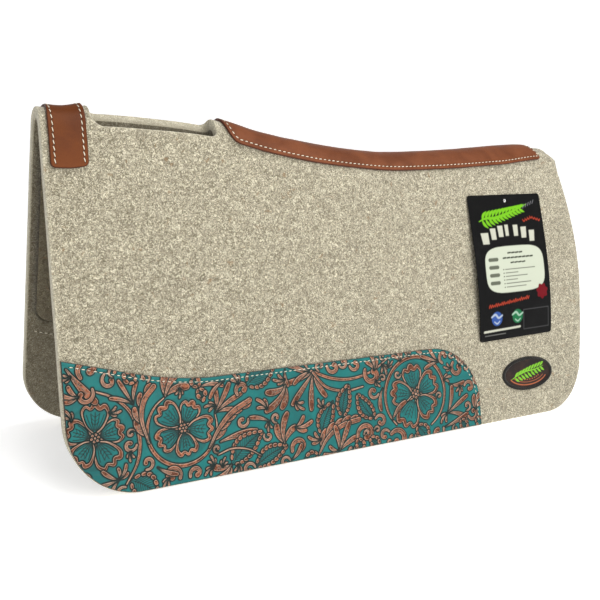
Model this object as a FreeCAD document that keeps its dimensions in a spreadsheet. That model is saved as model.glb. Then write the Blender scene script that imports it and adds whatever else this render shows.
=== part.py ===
import FreeCAD, Part
import math
import os
import Sketcher
from FreeCAD import Vector, Placement, Rotation

# A contoured western saddle pad, standing like a tent on its two bottom edges.
# Two thick wool felt halves meet at the ridge, where a reddish leather strip covers the seam
# behind the wither slot and a short leather strap covers it over the front bridge.
#
# Row frame: X runs from the front edge to the rear edge, the near half is on -Y, Z is up.
# The origin is under the middle of the pad, on the surface that it stands on.
# On each half, u is the distance from the front edge, v the distance up the slope from the
# bottom edge, and out the distance outward from the felt's outer face.

doc = FreeCAD.newDocument("saddle_pad")

# ---------------------------------------------------------------- driving dimensions
sheet = doc.addObject("Spreadsheet::Sheet", "Sizes")
DIMENSIONS = [
    ("pad_length", 787), ("half_spread", 122.5), ("splay_deg", 14.6), ("felt_thick", 12.7),
    ("seam_gap_outer", 2.8), ("seam_gap_inner", 4.3),
    ("front_corner_radius", 79), ("rear_corner_radius", 77),
    ("slot_front", 54), ("slot_rear", 199), ("slot_lip_near", 34), ("slot_lip_far", 20), ("slot_corner", 12),
    ("leather_thick", 3), ("leather_clear", 0.5),
    ("spine_front", 209), ("spine_rear", 716), ("spine_half_width", 40), ("spine_nose", 18),
    ("strap_front", 7), ("strap_rear", 47), ("strap_drop", 76), ("strap_corner", 5),
    ("wear_front", 1.5), ("wear_front_top", 150), ("wear_top", 114.5), ("wear_rear", 565),
    ("wear_base", 1.5), ("wear_corner", 80), ("wear_inset", 5),
    ("insert_front", 11), ("insert_rear", 748), ("insert_base", 155), ("insert_thick", 4),
    ("insert_joint", 0.6), ("insert_corner", 20),
    ("patch_along", 661), ("patch_up", 61.7), ("patch_long", 97), ("patch_short", 47),
    ("patch_thick", 2), ("border_width", 3.6), ("border_thick", 2.8),
    ("card_wide", 140), ("card_tall", 205), ("card_thick", 0.6), ("card_gap", 0.6),
    ("card_lean_deg", 1.4), ("card_corner", 4), ("card_hole_radius", 1.8),
    ("pin_along", 640), ("pin_up", 311.5), ("pin_from_top", 9), ("pin_shaft_radius", 0.5),
    ("pin_head_radius", 2.6), ("pin_head_thick", 0.8), ("pin_bar_length", 10), ("pin_bar_radius", 0.6),
    ("pin_hole_radius", 0.8),
    ("stitch_long", 4.2), ("stitch_wide", 1), ("stitch_high", 0.7), ("stitch_pitch", 6.4),
    ("stitch_clear", 0.2),
]
for row, (alias, value) in enumerate(DIMENSIONS, start=1):
    sheet.set("A%d" % row, alias)
    sheet.set("B%d" % row, str(value))
    sheet.setAlias("B%d" % row, alias)
doc.recompute()


def size(alias):
    return float(sheet.get(alias))


LENGTH = size("pad_length")
HALF_SPREAD = size("half_spread")
SPLAY = math.radians(size("splay_deg"))
THICK = size("felt_thick")
COS, SIN, TAN = math.cos(SPLAY), math.sin(SPLAY), math.tan(SPLAY)

# Height of the felt's ridge at chosen distances from the front edge: high over the withers,
# dipping behind them and rising again to the loin.
RIDGE = [(-40, 398), (0, 399.5), (28, 398.5), (58, 403.5), (130, 401.5), (200, 395), (263, 380),
         (330, 369.5), (390, 363), (446, 360), (510, 362.5), (571, 366.7), (636, 372.6), (692, 377),
         (738, 376), (800, 373), (860, 370)]


def ridge_height(along):
    """Smooth ridge height, a cubic through the points of RIDGE."""
    last = len(RIDGE) - 3
    k = next((i for i in range(1, last) if along < RIDGE[i + 1][0]), last)
    (xa, za), (xb, zb), (xc, zc), (xd, zd) = RIDGE[k - 1:k + 3]
    slope_b = (zc - za) / (xc - xa)
    slope_c = (zd - zb) / (xd - xb)
    run = xc - xb
    f = (along - xb) / run
    return ((2 * f**3 - 3 * f**2 + 1) * zb + (f**3 - 2 * f**2 + f) * run * slope_b
            + (3 * f**2 - 2 * f**3) * zc + (f**3 - f**2) * run * slope_c)


def crown_radius(along):
    """Outer radius of the arch, tangent to both sloping sides under the ridge."""
    return (HALF_SPREAD - ridge_height(along) * TAN) * COS / (1 - SIN)


def crown_span():
    """Angle that the arch turns through from the ridge to the sloping side."""
    return math.pi / 2 - SPLAY


def skin(along, around, out, side=-1):
    """Point on the pad: around is the arc length from the ridge down the outer face."""
    top, radius = ridge_height(along), crown_radius(along)
    arc = radius * crown_span()
    turn = min(around / radius, crown_span())
    y = (radius + out) * math.sin(turn)
    z = top - radius + (radius + out) * math.cos(turn)
    if around > arc:
        y += (around - arc) * SIN
        z -= (around - arc) * COS
    return Vector(along - LENGTH / 2, side * y, z)


def slope_length(along):
    """Arc length from the ridge to the bottom edge."""
    top, radius = ridge_height(along), crown_radius(along)
    return radius * crown_span() + (top - radius + radius * SIN) / COS


def line(a, b):
    return Part.LineSegment(a, b).toShape()


def arc(a, b, c):
    return Part.Arc(a, b, c).toShape()


def side_placement(side, out):
    """Placement of a flat piece whose local X is u, local Y is v, on one sloping side.

    On the near side local Z points outward, on the far side it points inward."""
    up = Vector(0, -side * SIN, COS)
    outward = Vector(0, side * COS, SIN)
    base = Vector(-LENGTH / 2, side * HALF_SPREAD, 0) + outward * out
    local_z = Vector(1, 0, 0).cross(up)
    return Placement(base, Rotation(Vector(1, 0, 0), up, local_z, "ZXY"))


def plane_out(side, low, thick):
    """Offset at which a flat piece from low to low + thick starts, for side_placement."""
    return low if side < 0 else low + thick


def feature(label, shape, placement=None):
    """A sub-part whose shape is made here, in the row's frame or in that of its placement."""
    obj = doc.addObject("Part::Feature", label)
    obj.Label = label
    obj.Shape = shape
    obj.Placement = placement or Placement()
    return obj


# ---------------------------------------------------------------- felt halves
# Each half is a cut sheet of pressed wool felt. Its flat leg leans outward, and its top edge is
# rolled over the ridge, where the two halves meet with a small open V that lets them flex.

BELOW = 10      # the blank reaches this far below the cut bottom edge


def arch_section(along, side):
    top, radius = ridge_height(along), crown_radius(along)
    inner = radius - THICK
    centre = top - radius
    x = along - LENGTH / 2

    def at(r, turn):
        return Vector(x, side * r * math.sin(turn), centre + r * math.cos(turn))
    end = crown_span()
    top_turn = math.asin(size("seam_gap_outer") / radius)
    under_turn = math.asin(size("seam_gap_inner") / inner)
    foot_outer = Vector(x, side * (HALF_SPREAD + BELOW * TAN), -BELOW)
    foot_inner = Vector(x, side * (HALF_SPREAD - THICK / COS + BELOW * TAN), -BELOW)
    return Part.Wire([
        line(foot_outer, at(radius, end)),
        arc(at(radius, end), at(radius, (end + top_turn) / 2), at(radius, top_turn)),
        line(at(radius, top_turn), at(inner, under_turn)),
        arc(at(inner, under_turn), at(inner, (end + under_turn) / 2), at(inner, end)),
        line(at(inner, end), foot_inner),
        line(foot_inner, foot_outer)])


def side_outline():
    """Outline of the whole pad seen from the side."""
    def p(along, height):
        return Vector(along - LENGTH / 2, -300, height)

    def corner(cx, cz, r, start_deg, end_deg):
        pts = [p(cx + r * math.cos(math.radians(a)), cz + r * math.sin(math.radians(a)))
               for a in (start_deg, (start_deg + end_deg) / 2, end_deg)]
        return arc(*pts)
    over = 430
    rf, rr = size("front_corner_radius"), size("rear_corner_radius")
    rear_foot = LENGTH - 12
    edges = [
        line(p(0, over), p(0, rf)),
        corner(rf, rf, rf, 180, 270),
        line(p(rf, 0), p(rear_foot - rr, 0)),
        corner(rear_foot - rr, rr, rr, 270, 360),
        arc(p(rear_foot, rr), p(LENGTH - 4, 130), p(LENGTH, 198)),
        arc(p(LENGTH, 198), p(LENGTH - 9, 274), p(LENGTH - 31, 344)),
        line(p(LENGTH - 31, 344), p(LENGTH - 44, 368)),
        line(p(LENGTH - 44, 368), p(LENGTH - 50, over)),
        line(p(LENGTH - 50, over), p(0, over))]
    return Part.Face(Part.Wire(edges))


def slot_tool(side, lip):
    """Cuts the wither slot square through one half, down to its lip, with rounded corners."""
    front, rear, r = size("slot_front"), size("slot_rear"), size("slot_corner")
    middle = (front + rear) / 2
    on_lip = skin(middle, lip, 0, side)
    outward = skin(middle, lip, 1, side) - on_lip
    up = Vector(1, 0, 0).cross(outward) * side
    reach = 80

    def p(along, rise):
        return on_lip + Vector(along - middle, 0, 0) + up * rise - outward * reach
    k = r * (1 - math.sqrt(0.5))
    edges = [
        line(p(front + r, 0), p(rear - r, 0)),
        arc(p(rear - r, 0), p(rear - k, k), p(rear, r)),
        line(p(rear, r), p(rear, reach)),
        line(p(rear, reach), p(front, reach)),
        line(p(front, reach), p(front, r)),
        arc(p(front, r), p(front + k, k), p(front + r, 0))]
    return Part.Face(Part.Wire(edges)).extrude(outward * 2 * reach)


# Sections of the blank, closer together over the front bridge, where the ridge bends most.
STATIONS = [-20 + 13 * i for i in range(20)] + [227 + 34.5 * (i + 1) for i in range(17)]
outline_prism = side_outline().extrude(Vector(0, 600, 0))


def insert_wire(grow):
    """Outline of the let-in underlay on the flat leg, in u and v."""
    u0, u1 = size("insert_front") - grow, size("insert_rear") + grow
    v0, r = size("insert_base") - grow, size("insert_corner")
    v_front, v_middle, v_rear = 378 + grow, 334 + grow, 346 + grow
    k = r * (1 - math.sqrt(0.5))
    return Part.Wire([
        line(Vector(u0 + r, v0, 0), Vector(u1 - r, v0, 0)),
        arc(Vector(u1 - r, v0, 0), Vector(u1 - k, v0 + k, 0), Vector(u1, v0 + r, 0)),
        line(Vector(u1, v0 + r, 0), Vector(u1, 250, 0)),
        line(Vector(u1, 250, 0), Vector(u1 - 22, v_rear, 0)),
        arc(Vector(u1 - 22, v_rear, 0), Vector(455, v_middle, 0), Vector(230, 353 + grow, 0)),
        line(Vector(230, 353 + grow, 0), Vector(u0, v_front, 0)),
        line(Vector(u0, v_front, 0), Vector(u0, v0 + r, 0)),
        arc(Vector(u0, v0 + r, 0), Vector(u0 + k, v0 + k, 0), Vector(u0 + r, v0, 0))])


def insert_recess(side):
    """The shallow seat for the underlay, open to the inner face."""
    depth = size("insert_thick") + 5
    solid = Part.Face(insert_wire(size("insert_joint"))).extrude(Vector(0, 0, depth))
    solid.Placement = side_placement(side, plane_out(side, -THICK - 5, depth))
    return solid


def felt_half(side):
    blank = Part.makeLoft([arch_section(along, side) for along in STATIONS], True, False)
    lip = size("slot_lip_near") if side < 0 else size("slot_lip_far")
    half = blank.common(outline_prism).cut(slot_tool(side, lip)).cut(insert_recess(side))
    if side < 0:
        hole = pin_hole()
        hole.Placement = side_placement(side, 0)
        half = half.cut(hole)
    return half


def pin_hole():
    """The hole for the tag pin, in u, v and out."""
    return Part.makeCylinder(size("pin_hole_radius"), THICK + 20,
                             Vector(size("pin_along"), size("pin_up"), -THICK - 10))


SIDES = {"near": -1, "far": 1}
for name, side in SIDES.items():
    feature("felt_half_" + name, felt_half(side))

# ---------------------------------------------------------------- let-in underlays
# A thinner wool layer let in flush with each inner face; a fine joint line shows around it.
for name, side in SIDES.items():
    layer = Part.Face(insert_wire(0)).extrude(Vector(0, 0, size("insert_thick")))
    if side < 0:
        layer = layer.cut(pin_hole())
    feature("underlay_" + name, layer,
            side_placement(side, plane_out(side, -THICK, size("insert_thick"))))


# ---------------------------------------------------------------- leather over the ridge
# Both leathers are cut flat and bent over the arch, so they are lofted across it.

def bent_strip(rows, low, thick, ruled=False):
    """Leather bent over the ridge: rows are (along, half width) from front to rear."""
    wires = []
    for along, half in rows:
        def across(out):
            pts = []
            for i in range(-12, 13):
                around = abs(i) / 12 * half
                pts.append(skin(along, around, out, -1 if i < 0 else 1))
            return pts
        outer, inner = across(low + thick), across(low)
        curve_out = Part.BSplineCurve()
        curve_out.interpolate(outer)
        curve_in = Part.BSplineCurve()
        curve_in.interpolate(inner)
        wires.append(Part.Wire([curve_out.toShape(), line(outer[-1], inner[-1]),
                                curve_in.toShape(), line(inner[0], outer[0])]))
    return Part.makeLoft(wires, True, ruled)


def spine_half_width(along):
    """Half width of the spine leather: a rounded nose, and a little narrower at both ends."""
    into = (size("spine_front") + size("spine_nose") - along) / size("spine_nose")
    front_taper = 4 * max(1 - (along - size("spine_front")) / 120, 0)
    rear_taper = 6 * max((along - 640) / 80, 0) ** 2
    full = size("spine_half_width") - front_taper - rear_taper
    return full * math.sqrt(max(1 - max(into, 0) ** 2.4, 0))


def strip_rows(front, rear, count):
    return [front + (rear - front) * i / count for i in range(count + 1)]


nose_end = size("spine_front") + size("spine_nose")
spine_rows = [size("spine_front") + size("spine_nose") * f for f in (0.02, 0.1, 0.22, 0.4, 0.62, 0.84)]
spine_rows += strip_rows(nose_end, size("spine_rear"), 26)
spine_leather = bent_strip([(x, spine_half_width(x)) for x in spine_rows],
                           size("leather_clear"), size("leather_thick"), ruled=True)
feature("spine_leather", spine_leather)

corner = size("strap_corner")
strap_rows = []
for along in strip_rows(size("strap_front"), size("strap_rear"), 8):
    edge = min(along - size("strap_front"), size("strap_rear") - along)
    missing = max(corner - edge, 0)
    strap_rows.append((along, size("strap_drop") - corner + math.sqrt(corner**2 - missing**2)))
feature("bridge_strap", bent_strip(strap_rows, size("leather_clear"), size("leather_thick")))


# ---------------------------------------------------------------- wear leathers
# Tooled leather sewn flat on the lower part of each half, where the stirrup fenders rub.

def sketch_on_plane(body, name):
    sketch = body.newObject("Sketcher::SketchObject", name)
    plane = next(o for o in body.Origin.OriginFeatures if o.Role == "XY_Plane")
    sketch.AttachmentSupport = [(plane, "")]
    sketch.MapMode = "FlatFace"
    return sketch


def pad_of(body, sketch, name, length_alias):
    pad = body.newObject("PartDesign::Pad", name)
    pad.Profile = sketch
    pad.setExpression("Length", "Sizes." + length_alias)
    return pad


def circle_points(cx, cy, r, a_deg, b_deg):
    return [Vector(cx + r * math.cos(math.radians(a)), cy + r * math.sin(math.radians(a)), 0)
            for a in (a_deg, (a_deg + b_deg) / 2, b_deg)]


def wear_top_edges():
    """Top and rear edge of the wear leather, from its front corner to its rear foot."""
    front, rear, top = size("wear_front"), size("wear_rear"), size("wear_top")
    r = size("wear_corner")
    corner_pts = circle_points(rear - r, top - r - 0.5, r, 90, 0)
    start = Vector(front, size("wear_front_top"), 0)
    knee = Vector(70, 130.5, 0)
    low = Vector(165, top, 0)
    return [("line", start, knee), ("arc", knee, Vector(115, 118.4, 0), low),
            ("line", low, corner_pts[0]), ("arc", *corner_pts),
            ("line", corner_pts[2], Vector(rear - 1, size("wear_base"), 0))]


def wear_outline():
    """The whole outline: the top and rear edges, then the foot and the front corner."""
    edges = wear_top_edges()
    front, base = size("wear_front"), size("wear_base")
    r = size("front_corner_radius") - 1
    foot = circle_points(front + r, base + r, r, 270, 180)
    edges += [("line", edges[-1][2], foot[0]), ("arc", *foot), ("line", foot[2], edges[0][1])]
    return edges


def add_outline(sketch, edges):
    """Put lines and arcs in a sketch and join each one's end to the next one's start."""
    starts_and_ends = []
    for kind, *pts in edges:
        if kind == "line":
            index = sketch.addGeometry(Part.LineSegment(pts[0], pts[1]), False)
            starts_and_ends.append((index, 1, 2))
        else:
            chord, bulge = pts[2] - pts[0], pts[1] - pts[0]
            forward = chord.x * bulge.y - chord.y * bulge.x < 0
            index = sketch.addGeometry(Part.Arc(*(pts if forward else pts[::-1])), False)
            starts_and_ends.append((index, 1 if forward else 2, 2 if forward else 1))
    count = len(starts_and_ends)
    for i in range(count):
        here, there = starts_and_ends[i], starts_and_ends[(i + 1) % count]
        sketch.addConstraint(Sketcher.Constraint("Coincident", here[0], here[2], there[0], there[1]))


for name, side in SIDES.items():
    body = doc.addObject("PartDesign::Body", "wear_leather_" + name)
    body.Label = "wear_leather_" + name
    outline = sketch_on_plane(body, "WearOutline" + name.capitalize())
    add_outline(outline, wear_outline())
    pad_of(body, outline, "WearPad" + name.capitalize(), "leather_thick")
    body.Placement = side_placement(side, plane_out(side, 0, size("leather_thick")))

# ---------------------------------------------------------------- maker's patch
# An oval leather patch sewn on by a thick overcast border.
patch = doc.addObject("PartDesign::Body", "oval_patch")
patch.Label = "oval_patch"
patch_sketch = sketch_on_plane(patch, "PatchOval")
border = doc.addObject("PartDesign::Body", "patch_border")
border.Label = "patch_border"
border_sketch = sketch_on_plane(border, "BorderRing")


def add_oval(sketch, name, long_expr, short_expr, long_now, short_now):
    """An ellipse about the sketch origin, with its half axes driven from the sheet."""
    ellipse = Part.Ellipse(Vector(0, 0, 0), long_now, short_now)
    index = sketch.addGeometry(ellipse, False)
    sketch.exposeInternalGeometry(index)
    sketch.addConstraint(Sketcher.Constraint("Coincident", index, 3, -1, 1))
    major, minor = index + 1, index + 2
    sketch.addConstraint(Sketcher.Constraint("Horizontal", major))
    long_axis = sketch.addConstraint(Sketcher.Constraint("Distance", major, 2 * long_now))
    sketch.setExpression("Constraints[%d]" % long_axis, long_expr)
    short_axis = sketch.addConstraint(Sketcher.Constraint("Distance", minor, 2 * short_now))
    sketch.setExpression("Constraints[%d]" % short_axis, short_expr)


half_long, half_short = size("patch_long") / 2, size("patch_short") / 2
ring = size("border_width")
add_oval(patch_sketch, "oval", "Sizes.patch_long - 2 * Sizes.border_width",
         "Sizes.patch_short - 2 * Sizes.border_width", half_long - ring, half_short - ring)
pad_of(patch, patch_sketch, "PatchPad", "patch_thick")
add_oval(border_sketch, "outer", "Sizes.patch_long", "Sizes.patch_short", half_long, half_short)
add_oval(border_sketch, "inner", "Sizes.patch_long - 2 * Sizes.border_width",
         "Sizes.patch_short - 2 * Sizes.border_width", half_long - ring, half_short - ring)
pad_of(border, border_sketch, "BorderPad", "border_thick")
patch_place = side_placement(-1, 0)
patch_place.Base = patch_place.multVec(Vector(size("patch_along"), size("patch_up"), 0))
patch.Placement = patch_place
border.Placement = patch_place

# ---------------------------------------------------------------- hang tag and its pin
# A printed card that swings on a nylon pin pushed through the card, the felt and the underlay.
tag = doc.addObject("PartDesign::Body", "hang_tag")
tag.Label = "hang_tag"
tag_sketch = sketch_on_plane(tag, "Card")
half_card, above = size("card_wide") / 2, size("pin_from_top")
below, r = size("card_tall") - size("pin_from_top"), size("card_corner")
card = []
for cx, cy, start_deg in ((half_card - r, above - r, 90), (half_card - r, r - below, 0),
                          (r - half_card, r - below, -90), (r - half_card, above - r, -180)):
    card.append(("arc", *circle_points(cx, cy, r, start_deg, start_deg - 90)))
joined = []
for i, corner_arc in enumerate(card):
    joined += [corner_arc, ("line", corner_arc[3], card[(i + 1) % 4][1])]
add_outline(tag_sketch, joined)
hole = tag_sketch.addGeometry(Part.Circle(Vector(0, 0, 0), Vector(0, 0, 1), size("card_hole_radius")))
tag_sketch.addConstraint(Sketcher.Constraint("Coincident", hole, 3, -1, 1))
hole_size = tag_sketch.addConstraint(Sketcher.Constraint("Radius", hole, size("card_hole_radius")))
tag_sketch.setExpression("Constraints[%d]" % hole_size, "Sizes.card_hole_radius")
pad_of(tag, tag_sketch, "CardPad", "card_thick")
pin_place = side_placement(-1, 0)
pin_place.Base = pin_place.multVec(Vector(size("pin_along"), size("pin_up"), 0))
tag_place = pin_place.multiply(Placement(Vector(0, 0, size("card_gap")),
                                         Rotation(Vector(0, 0, 1), size("card_lean_deg"))))
tag.Placement = tag_place

head_low = size("card_gap") + size("card_thick") + 0.3
shaft = doc.addObject("Part::Cylinder", "PinShaft")
shaft.setExpression("Radius", "Sizes.pin_shaft_radius")
shaft.setExpression("Height", "Sizes.felt_thick + Sizes.card_gap + Sizes.card_thick + 1.3")
shaft.setExpression("Placement.Base.z", "-Sizes.felt_thick - 0.7")
head = doc.addObject("Part::Cylinder", "PinHead")
head.setExpression("Radius", "Sizes.pin_head_radius")
head.setExpression("Height", "Sizes.pin_head_thick")
head.setExpression("Placement.Base.z", "Sizes.card_gap + Sizes.card_thick + 0.3")
crossbar = doc.addObject("Part::Cylinder", "PinBar")
crossbar.setExpression("Radius", "Sizes.pin_bar_radius")
crossbar.setExpression("Height", "Sizes.pin_bar_length")
crossbar.Placement = Placement(Vector(-size("pin_bar_length") / 2, 0,
                                      -THICK - 0.2 - size("pin_bar_radius")),
                               Rotation(Vector(0, 1, 0), 90))
pin = doc.addObject("Part::MultiFuse", "tag_pin")
pin.Label = "tag_pin"
pin.Shapes = [shaft, head, crossbar]
pin.Placement = pin_place


# ---------------------------------------------------------------- stitching
# Heavy cream thread. Each stitch that shows is a short length lying on the leather.

def stitch(centre, along_dir, out_dir, high=None):
    """One stitch: a short flat bar, long along along_dir, standing out along out_dir."""
    long, wide = size("stitch_long"), size("stitch_wide")
    high = high or size("stitch_high")
    bar = Part.makeBox(long, wide, high, Vector(-long / 2, -wide / 2, 0))
    z = Vector(out_dir)
    z.normalize()
    x = along_dir - z * along_dir.dot(z)
    x.normalize()
    bar.Placement = Placement(centre, Rotation(x, z.cross(x), z, "ZXY"))
    return bar


def stitch_on_skin(path, out, inside=False):
    """Stitches on the bent leather: path is a list of (along, around, side)."""
    bars = []
    for i in range(len(path)):
        a, b, c = path[max(i - 1, 0)], path[i], path[min(i + 1, len(path) - 1)]
        here = skin(b[0], b[1], out, b[2])
        along_dir = skin(c[0], c[1], out, c[2]) - skin(a[0], a[1], out, a[2])
        out_dir = skin(b[0], b[1], out + 1, b[2]) - here
        bars.append(stitch(here, along_dir, out_dir))
    return bars


def spaced(start, end, pitch):
    count = max(int(round(abs(end - start) / pitch)), 1)
    return [start + (end - start) * (i + 0.5) / count for i in range(count)]


PITCH = size("stitch_pitch")
on_leather = size("leather_clear") + size("leather_thick") + size("stitch_clear")
inset = size("wear_inset")
spine_paths = []
for side in (-1, 1):
    spine_paths.append([(x, spine_half_width(x) - inset, side)
                        for x in spaced(nose_end, size("spine_rear") - inset, PITCH)])
    nose_in = spine_half_width(nose_end) - inset
    nose = []
    for turn in spaced(6, 88, 11):
        a = math.radians(turn)
        nose.append((nose_end - (size("spine_nose") - inset) * math.cos(a),
                     nose_in * math.sin(a) ** 0.8, side))
    spine_paths.append(nose)
    rear_in = spine_half_width(size("spine_rear")) - inset
    spine_paths.append([(size("spine_rear") - inset, s, side) for s in spaced(1, rear_in - 3, PITCH)])
bars = [bar for path in spine_paths for bar in stitch_on_skin(path, on_leather)]
feature("spine_leather_stitches", Part.makeCompound(bars))

strap_paths = []
for side in (-1, 1):
    for along in (size("strap_front") + 5, size("strap_rear") - 5):
        strap_paths.append([(along, s, side) for s in spaced(0, size("strap_drop") - 3, PITCH)])
bars = [bar for path in strap_paths for bar in stitch_on_skin(path, on_leather)]
feature("bridge_strap_stitches", Part.makeCompound(bars))


def inset_row(edges, inset, pitch):
    """Points and directions along a chain of lines and arcs, moved to its right by inset."""
    row = []
    for kind, *pts in edges:
        curve = Part.LineSegment(*pts) if kind == "line" else Part.Arc(*pts)
        edge = curve.toShape()
        flip = edge.valueAt(edge.FirstParameter).distanceToPoint(pts[0]) > 1e-4
        for s in spaced(0, edge.Length, pitch):
            t = edge.getParameterByLength(edge.Length - s if flip else s)
            tangent = edge.tangentAt(t) * (-1 if flip else 1)
            right = Vector(tangent.y, -tangent.x, 0)
            row.append((edge.valueAt(t) + right * inset, tangent))
    return row


wear_row = [(p, d) for p, d in inset_row(wear_top_edges(), size("wear_inset"), PITCH)
            if p.x > size("wear_front") + 5 and p.y > 8]
for name, side in SIDES.items():
    for label, out, facing in (("wear_stitches_", size("leather_thick") + size("stitch_clear"), 1),
                               ("underside_stitches_", -THICK - size("stitch_clear"), -1)):
        outward = Vector(0, side * COS, SIN)
        place = side_placement(side, out)
        turned = place.Rotation
        bars = [stitch(place.multVec(p), turned.multVec(d), outward * facing) for p, d in wear_row]
        feature(label + name, Part.makeCompound(bars))

# The halves are drawn together by stitches across the ridge, under the leathers.
for label, start, end in (("ridge_seam_stitches", size("slot_rear") + 6, LENGTH - 58),
                          ("bridge_seam_stitches", 3, size("slot_front") - 3)):
    bars = []
    for along in spaced(start, end, 9):
        low = skin(along, 0, 0) - Vector(0, 0, 2.6)
        bars.append(stitch(low, Vector(0, 1, 0), Vector(0, 0, 1), 1.2))
    feature(label, Part.makeCompound(bars))

# ---------------------------------------------------------------- check and write
NODES = ["felt_half_near", "felt_half_far", "underlay_near", "underlay_far",
         "spine_leather", "bridge_strap", "wear_leather_near", "wear_leather_far",
         "oval_patch", "patch_border", "hang_tag", "tag_pin",
         "spine_leather_stitches", "bridge_strap_stitches", "wear_stitches_near",
         "wear_stitches_far", "underside_stitches_near", "underside_stitches_far",
         "ridge_seam_stitches", "bridge_seam_stitches"]
doc.recompute()
for obj in doc.Objects:
    if "Invalid" in obj.State or "Error" in obj.State:
        raise RuntimeError("%s failed: %s" % (obj.Label, obj.State))
by_label = {obj.Label: obj for obj in doc.Objects}
for node in NODES:
    shape = by_label[node].Shape
    if shape.isNull() or not shape.isValid():
        raise RuntimeError("%s has no valid shape" % node)
os.makedirs("parts", exist_ok=True)
for node in NODES:
    shape = by_label[node].Shape
    shape.exportStep("parts/%s.step" % node)
    box = shape.BoundBox
    print("%-24s solids %3d  volume %10.1f  x %7.1f %7.1f  y %7.1f %7.1f  z %6.1f %6.1f" % (
        node, len(shape.Solids), shape.Volume, box.XMin, box.XMax, box.YMin, box.YMax,
        box.ZMin, box.ZMax))
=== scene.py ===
import math
from functools import partial

import bpy
import numpy as np
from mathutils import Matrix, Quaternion, Vector, geometry


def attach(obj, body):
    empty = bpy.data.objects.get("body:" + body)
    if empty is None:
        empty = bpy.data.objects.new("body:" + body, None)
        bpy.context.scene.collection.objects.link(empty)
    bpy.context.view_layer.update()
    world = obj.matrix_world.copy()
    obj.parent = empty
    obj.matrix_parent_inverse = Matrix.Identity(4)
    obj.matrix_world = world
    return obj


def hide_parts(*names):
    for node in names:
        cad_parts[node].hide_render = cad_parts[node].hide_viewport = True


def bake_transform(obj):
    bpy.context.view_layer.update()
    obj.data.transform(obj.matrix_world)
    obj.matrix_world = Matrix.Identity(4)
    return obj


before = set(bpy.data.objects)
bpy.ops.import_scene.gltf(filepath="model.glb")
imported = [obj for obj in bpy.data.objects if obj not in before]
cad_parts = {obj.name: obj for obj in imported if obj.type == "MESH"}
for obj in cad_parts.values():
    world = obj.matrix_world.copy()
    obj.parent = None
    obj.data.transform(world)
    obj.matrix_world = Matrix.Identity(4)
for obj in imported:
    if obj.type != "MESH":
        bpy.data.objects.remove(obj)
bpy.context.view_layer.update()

rng = np.random.default_rng(7)

# ------------------------------------------------------------------ studio
# A white studio: a shallow round bowl of a floor whose rim rises out of sight, one broad soft
# light overhead, a softer one from the front left, and the camera at the pad's front corner.
back = Vector((-0.50138, -0.83625, 0.22201))
look_at = Vector((-0.0576, 0, 0.1673))
camera = bpy.data.objects.new("camera", bpy.data.cameras.new("camera"))
bpy.context.collection.objects.link(camera)
camera.data.lens = 47.4
camera.location = look_at + back * 1.04645
camera.rotation_mode = "QUATERNION"
camera.rotation_quaternion = back.to_track_quat("Z", "Y") @ Quaternion((0, 0, 1), math.radians(3.018))
bpy.context.scene.camera = camera
bpy.context.scene.view_settings.view_transform = "Standard"


def solid(name, points, faces, material=None, smooth=True):
    """A mesh object from arrays of points and faces."""
    mesh = bpy.data.meshes.new(name)
    mesh.from_pydata(np.asarray(points).tolist(), [], faces if isinstance(faces, list) else faces.tolist())
    if smooth:
        mesh.shade_smooth()
    made = bpy.data.objects.new(name, mesh)
    bpy.context.collection.objects.link(made)
    if material:
        mesh.materials.append(material)
    return made


def grid_faces(rows, columns, wrap=False):
    """Quads of a grid of points stored row by row; wrap joins the last column to the first."""
    r = np.arange(rows - 1)[:, None]
    c = np.arange(columns if wrap else columns - 1)[None, :]
    n = (c + 1) % columns
    return np.stack([r * columns + c, r * columns + n, (r + 1) * columns + n, (r + 1) * columns + c],
                    axis=-1).reshape(-1, 4)


def plain_material(name, colour, roughness):
    material = bpy.data.materials.new(name)
    material.use_nodes = True
    shader = material.node_tree.nodes["Principled BSDF"]
    shader.inputs["Base Color"].default_value = (*colour, 1)
    shader.inputs["Roughness"].default_value = roughness
    return material


flat_radius, rim_radius, rim_height, around_count = 4.0, 7.0, 3.2, 96
profile = [(0.001, 0), (flat_radius, 0)]
profile += [(flat_radius + (rim_radius - flat_radius) * math.sin(a), rim_height * (1 - math.cos(a)))
            for a in np.linspace(0.1, math.pi / 2, 14)]
turn = np.linspace(0, 2 * math.pi, around_count, endpoint=False)
floor_points = np.array([[r * math.cos(t), r * math.sin(t), z - 0.0005] for r, z in profile for t in turn])
floor = solid("studio_floor", floor_points, grid_faces(len(profile), around_count, wrap=True),
              plain_material("pale_floor", (0.93, 0.93, 0.925), 0.9))
floor_shader = floor.active_material.node_tree.nodes["Principled BSDF"]
floor_shader.inputs["Emission Color"].default_value = (1, 1, 1, 1)
floor_shader.inputs["Emission Strength"].default_value = 0.5


def softbox(name, place, aim, width, power):
    light = bpy.data.objects.new(name, bpy.data.lights.new(name, "AREA"))
    bpy.context.collection.objects.link(light)
    light.data.shape = "DISK"
    light.data.size = width
    light.data.energy = power
    light.location = place
    light.rotation_mode = "QUATERNION"
    light.rotation_quaternion = (Vector(place) - Vector(aim)).to_track_quat("Z", "Y")


softbox("overhead_light", (0.2, -0.62, 1.55), (0, 0, 0.2), 1.4, 19)
softbox("front_light", (0.3, -2.8, 1.5), (0, 0, 0.2), 1.8, 26)
world = bpy.data.worlds.new("studio_air")
bpy.context.scene.world = world
world.use_nodes = True
world.node_tree.nodes["Background"].inputs["Color"].default_value = (1, 1, 1, 1)
world.node_tree.nodes["Background"].inputs["Strength"].default_value = 0.36

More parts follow.
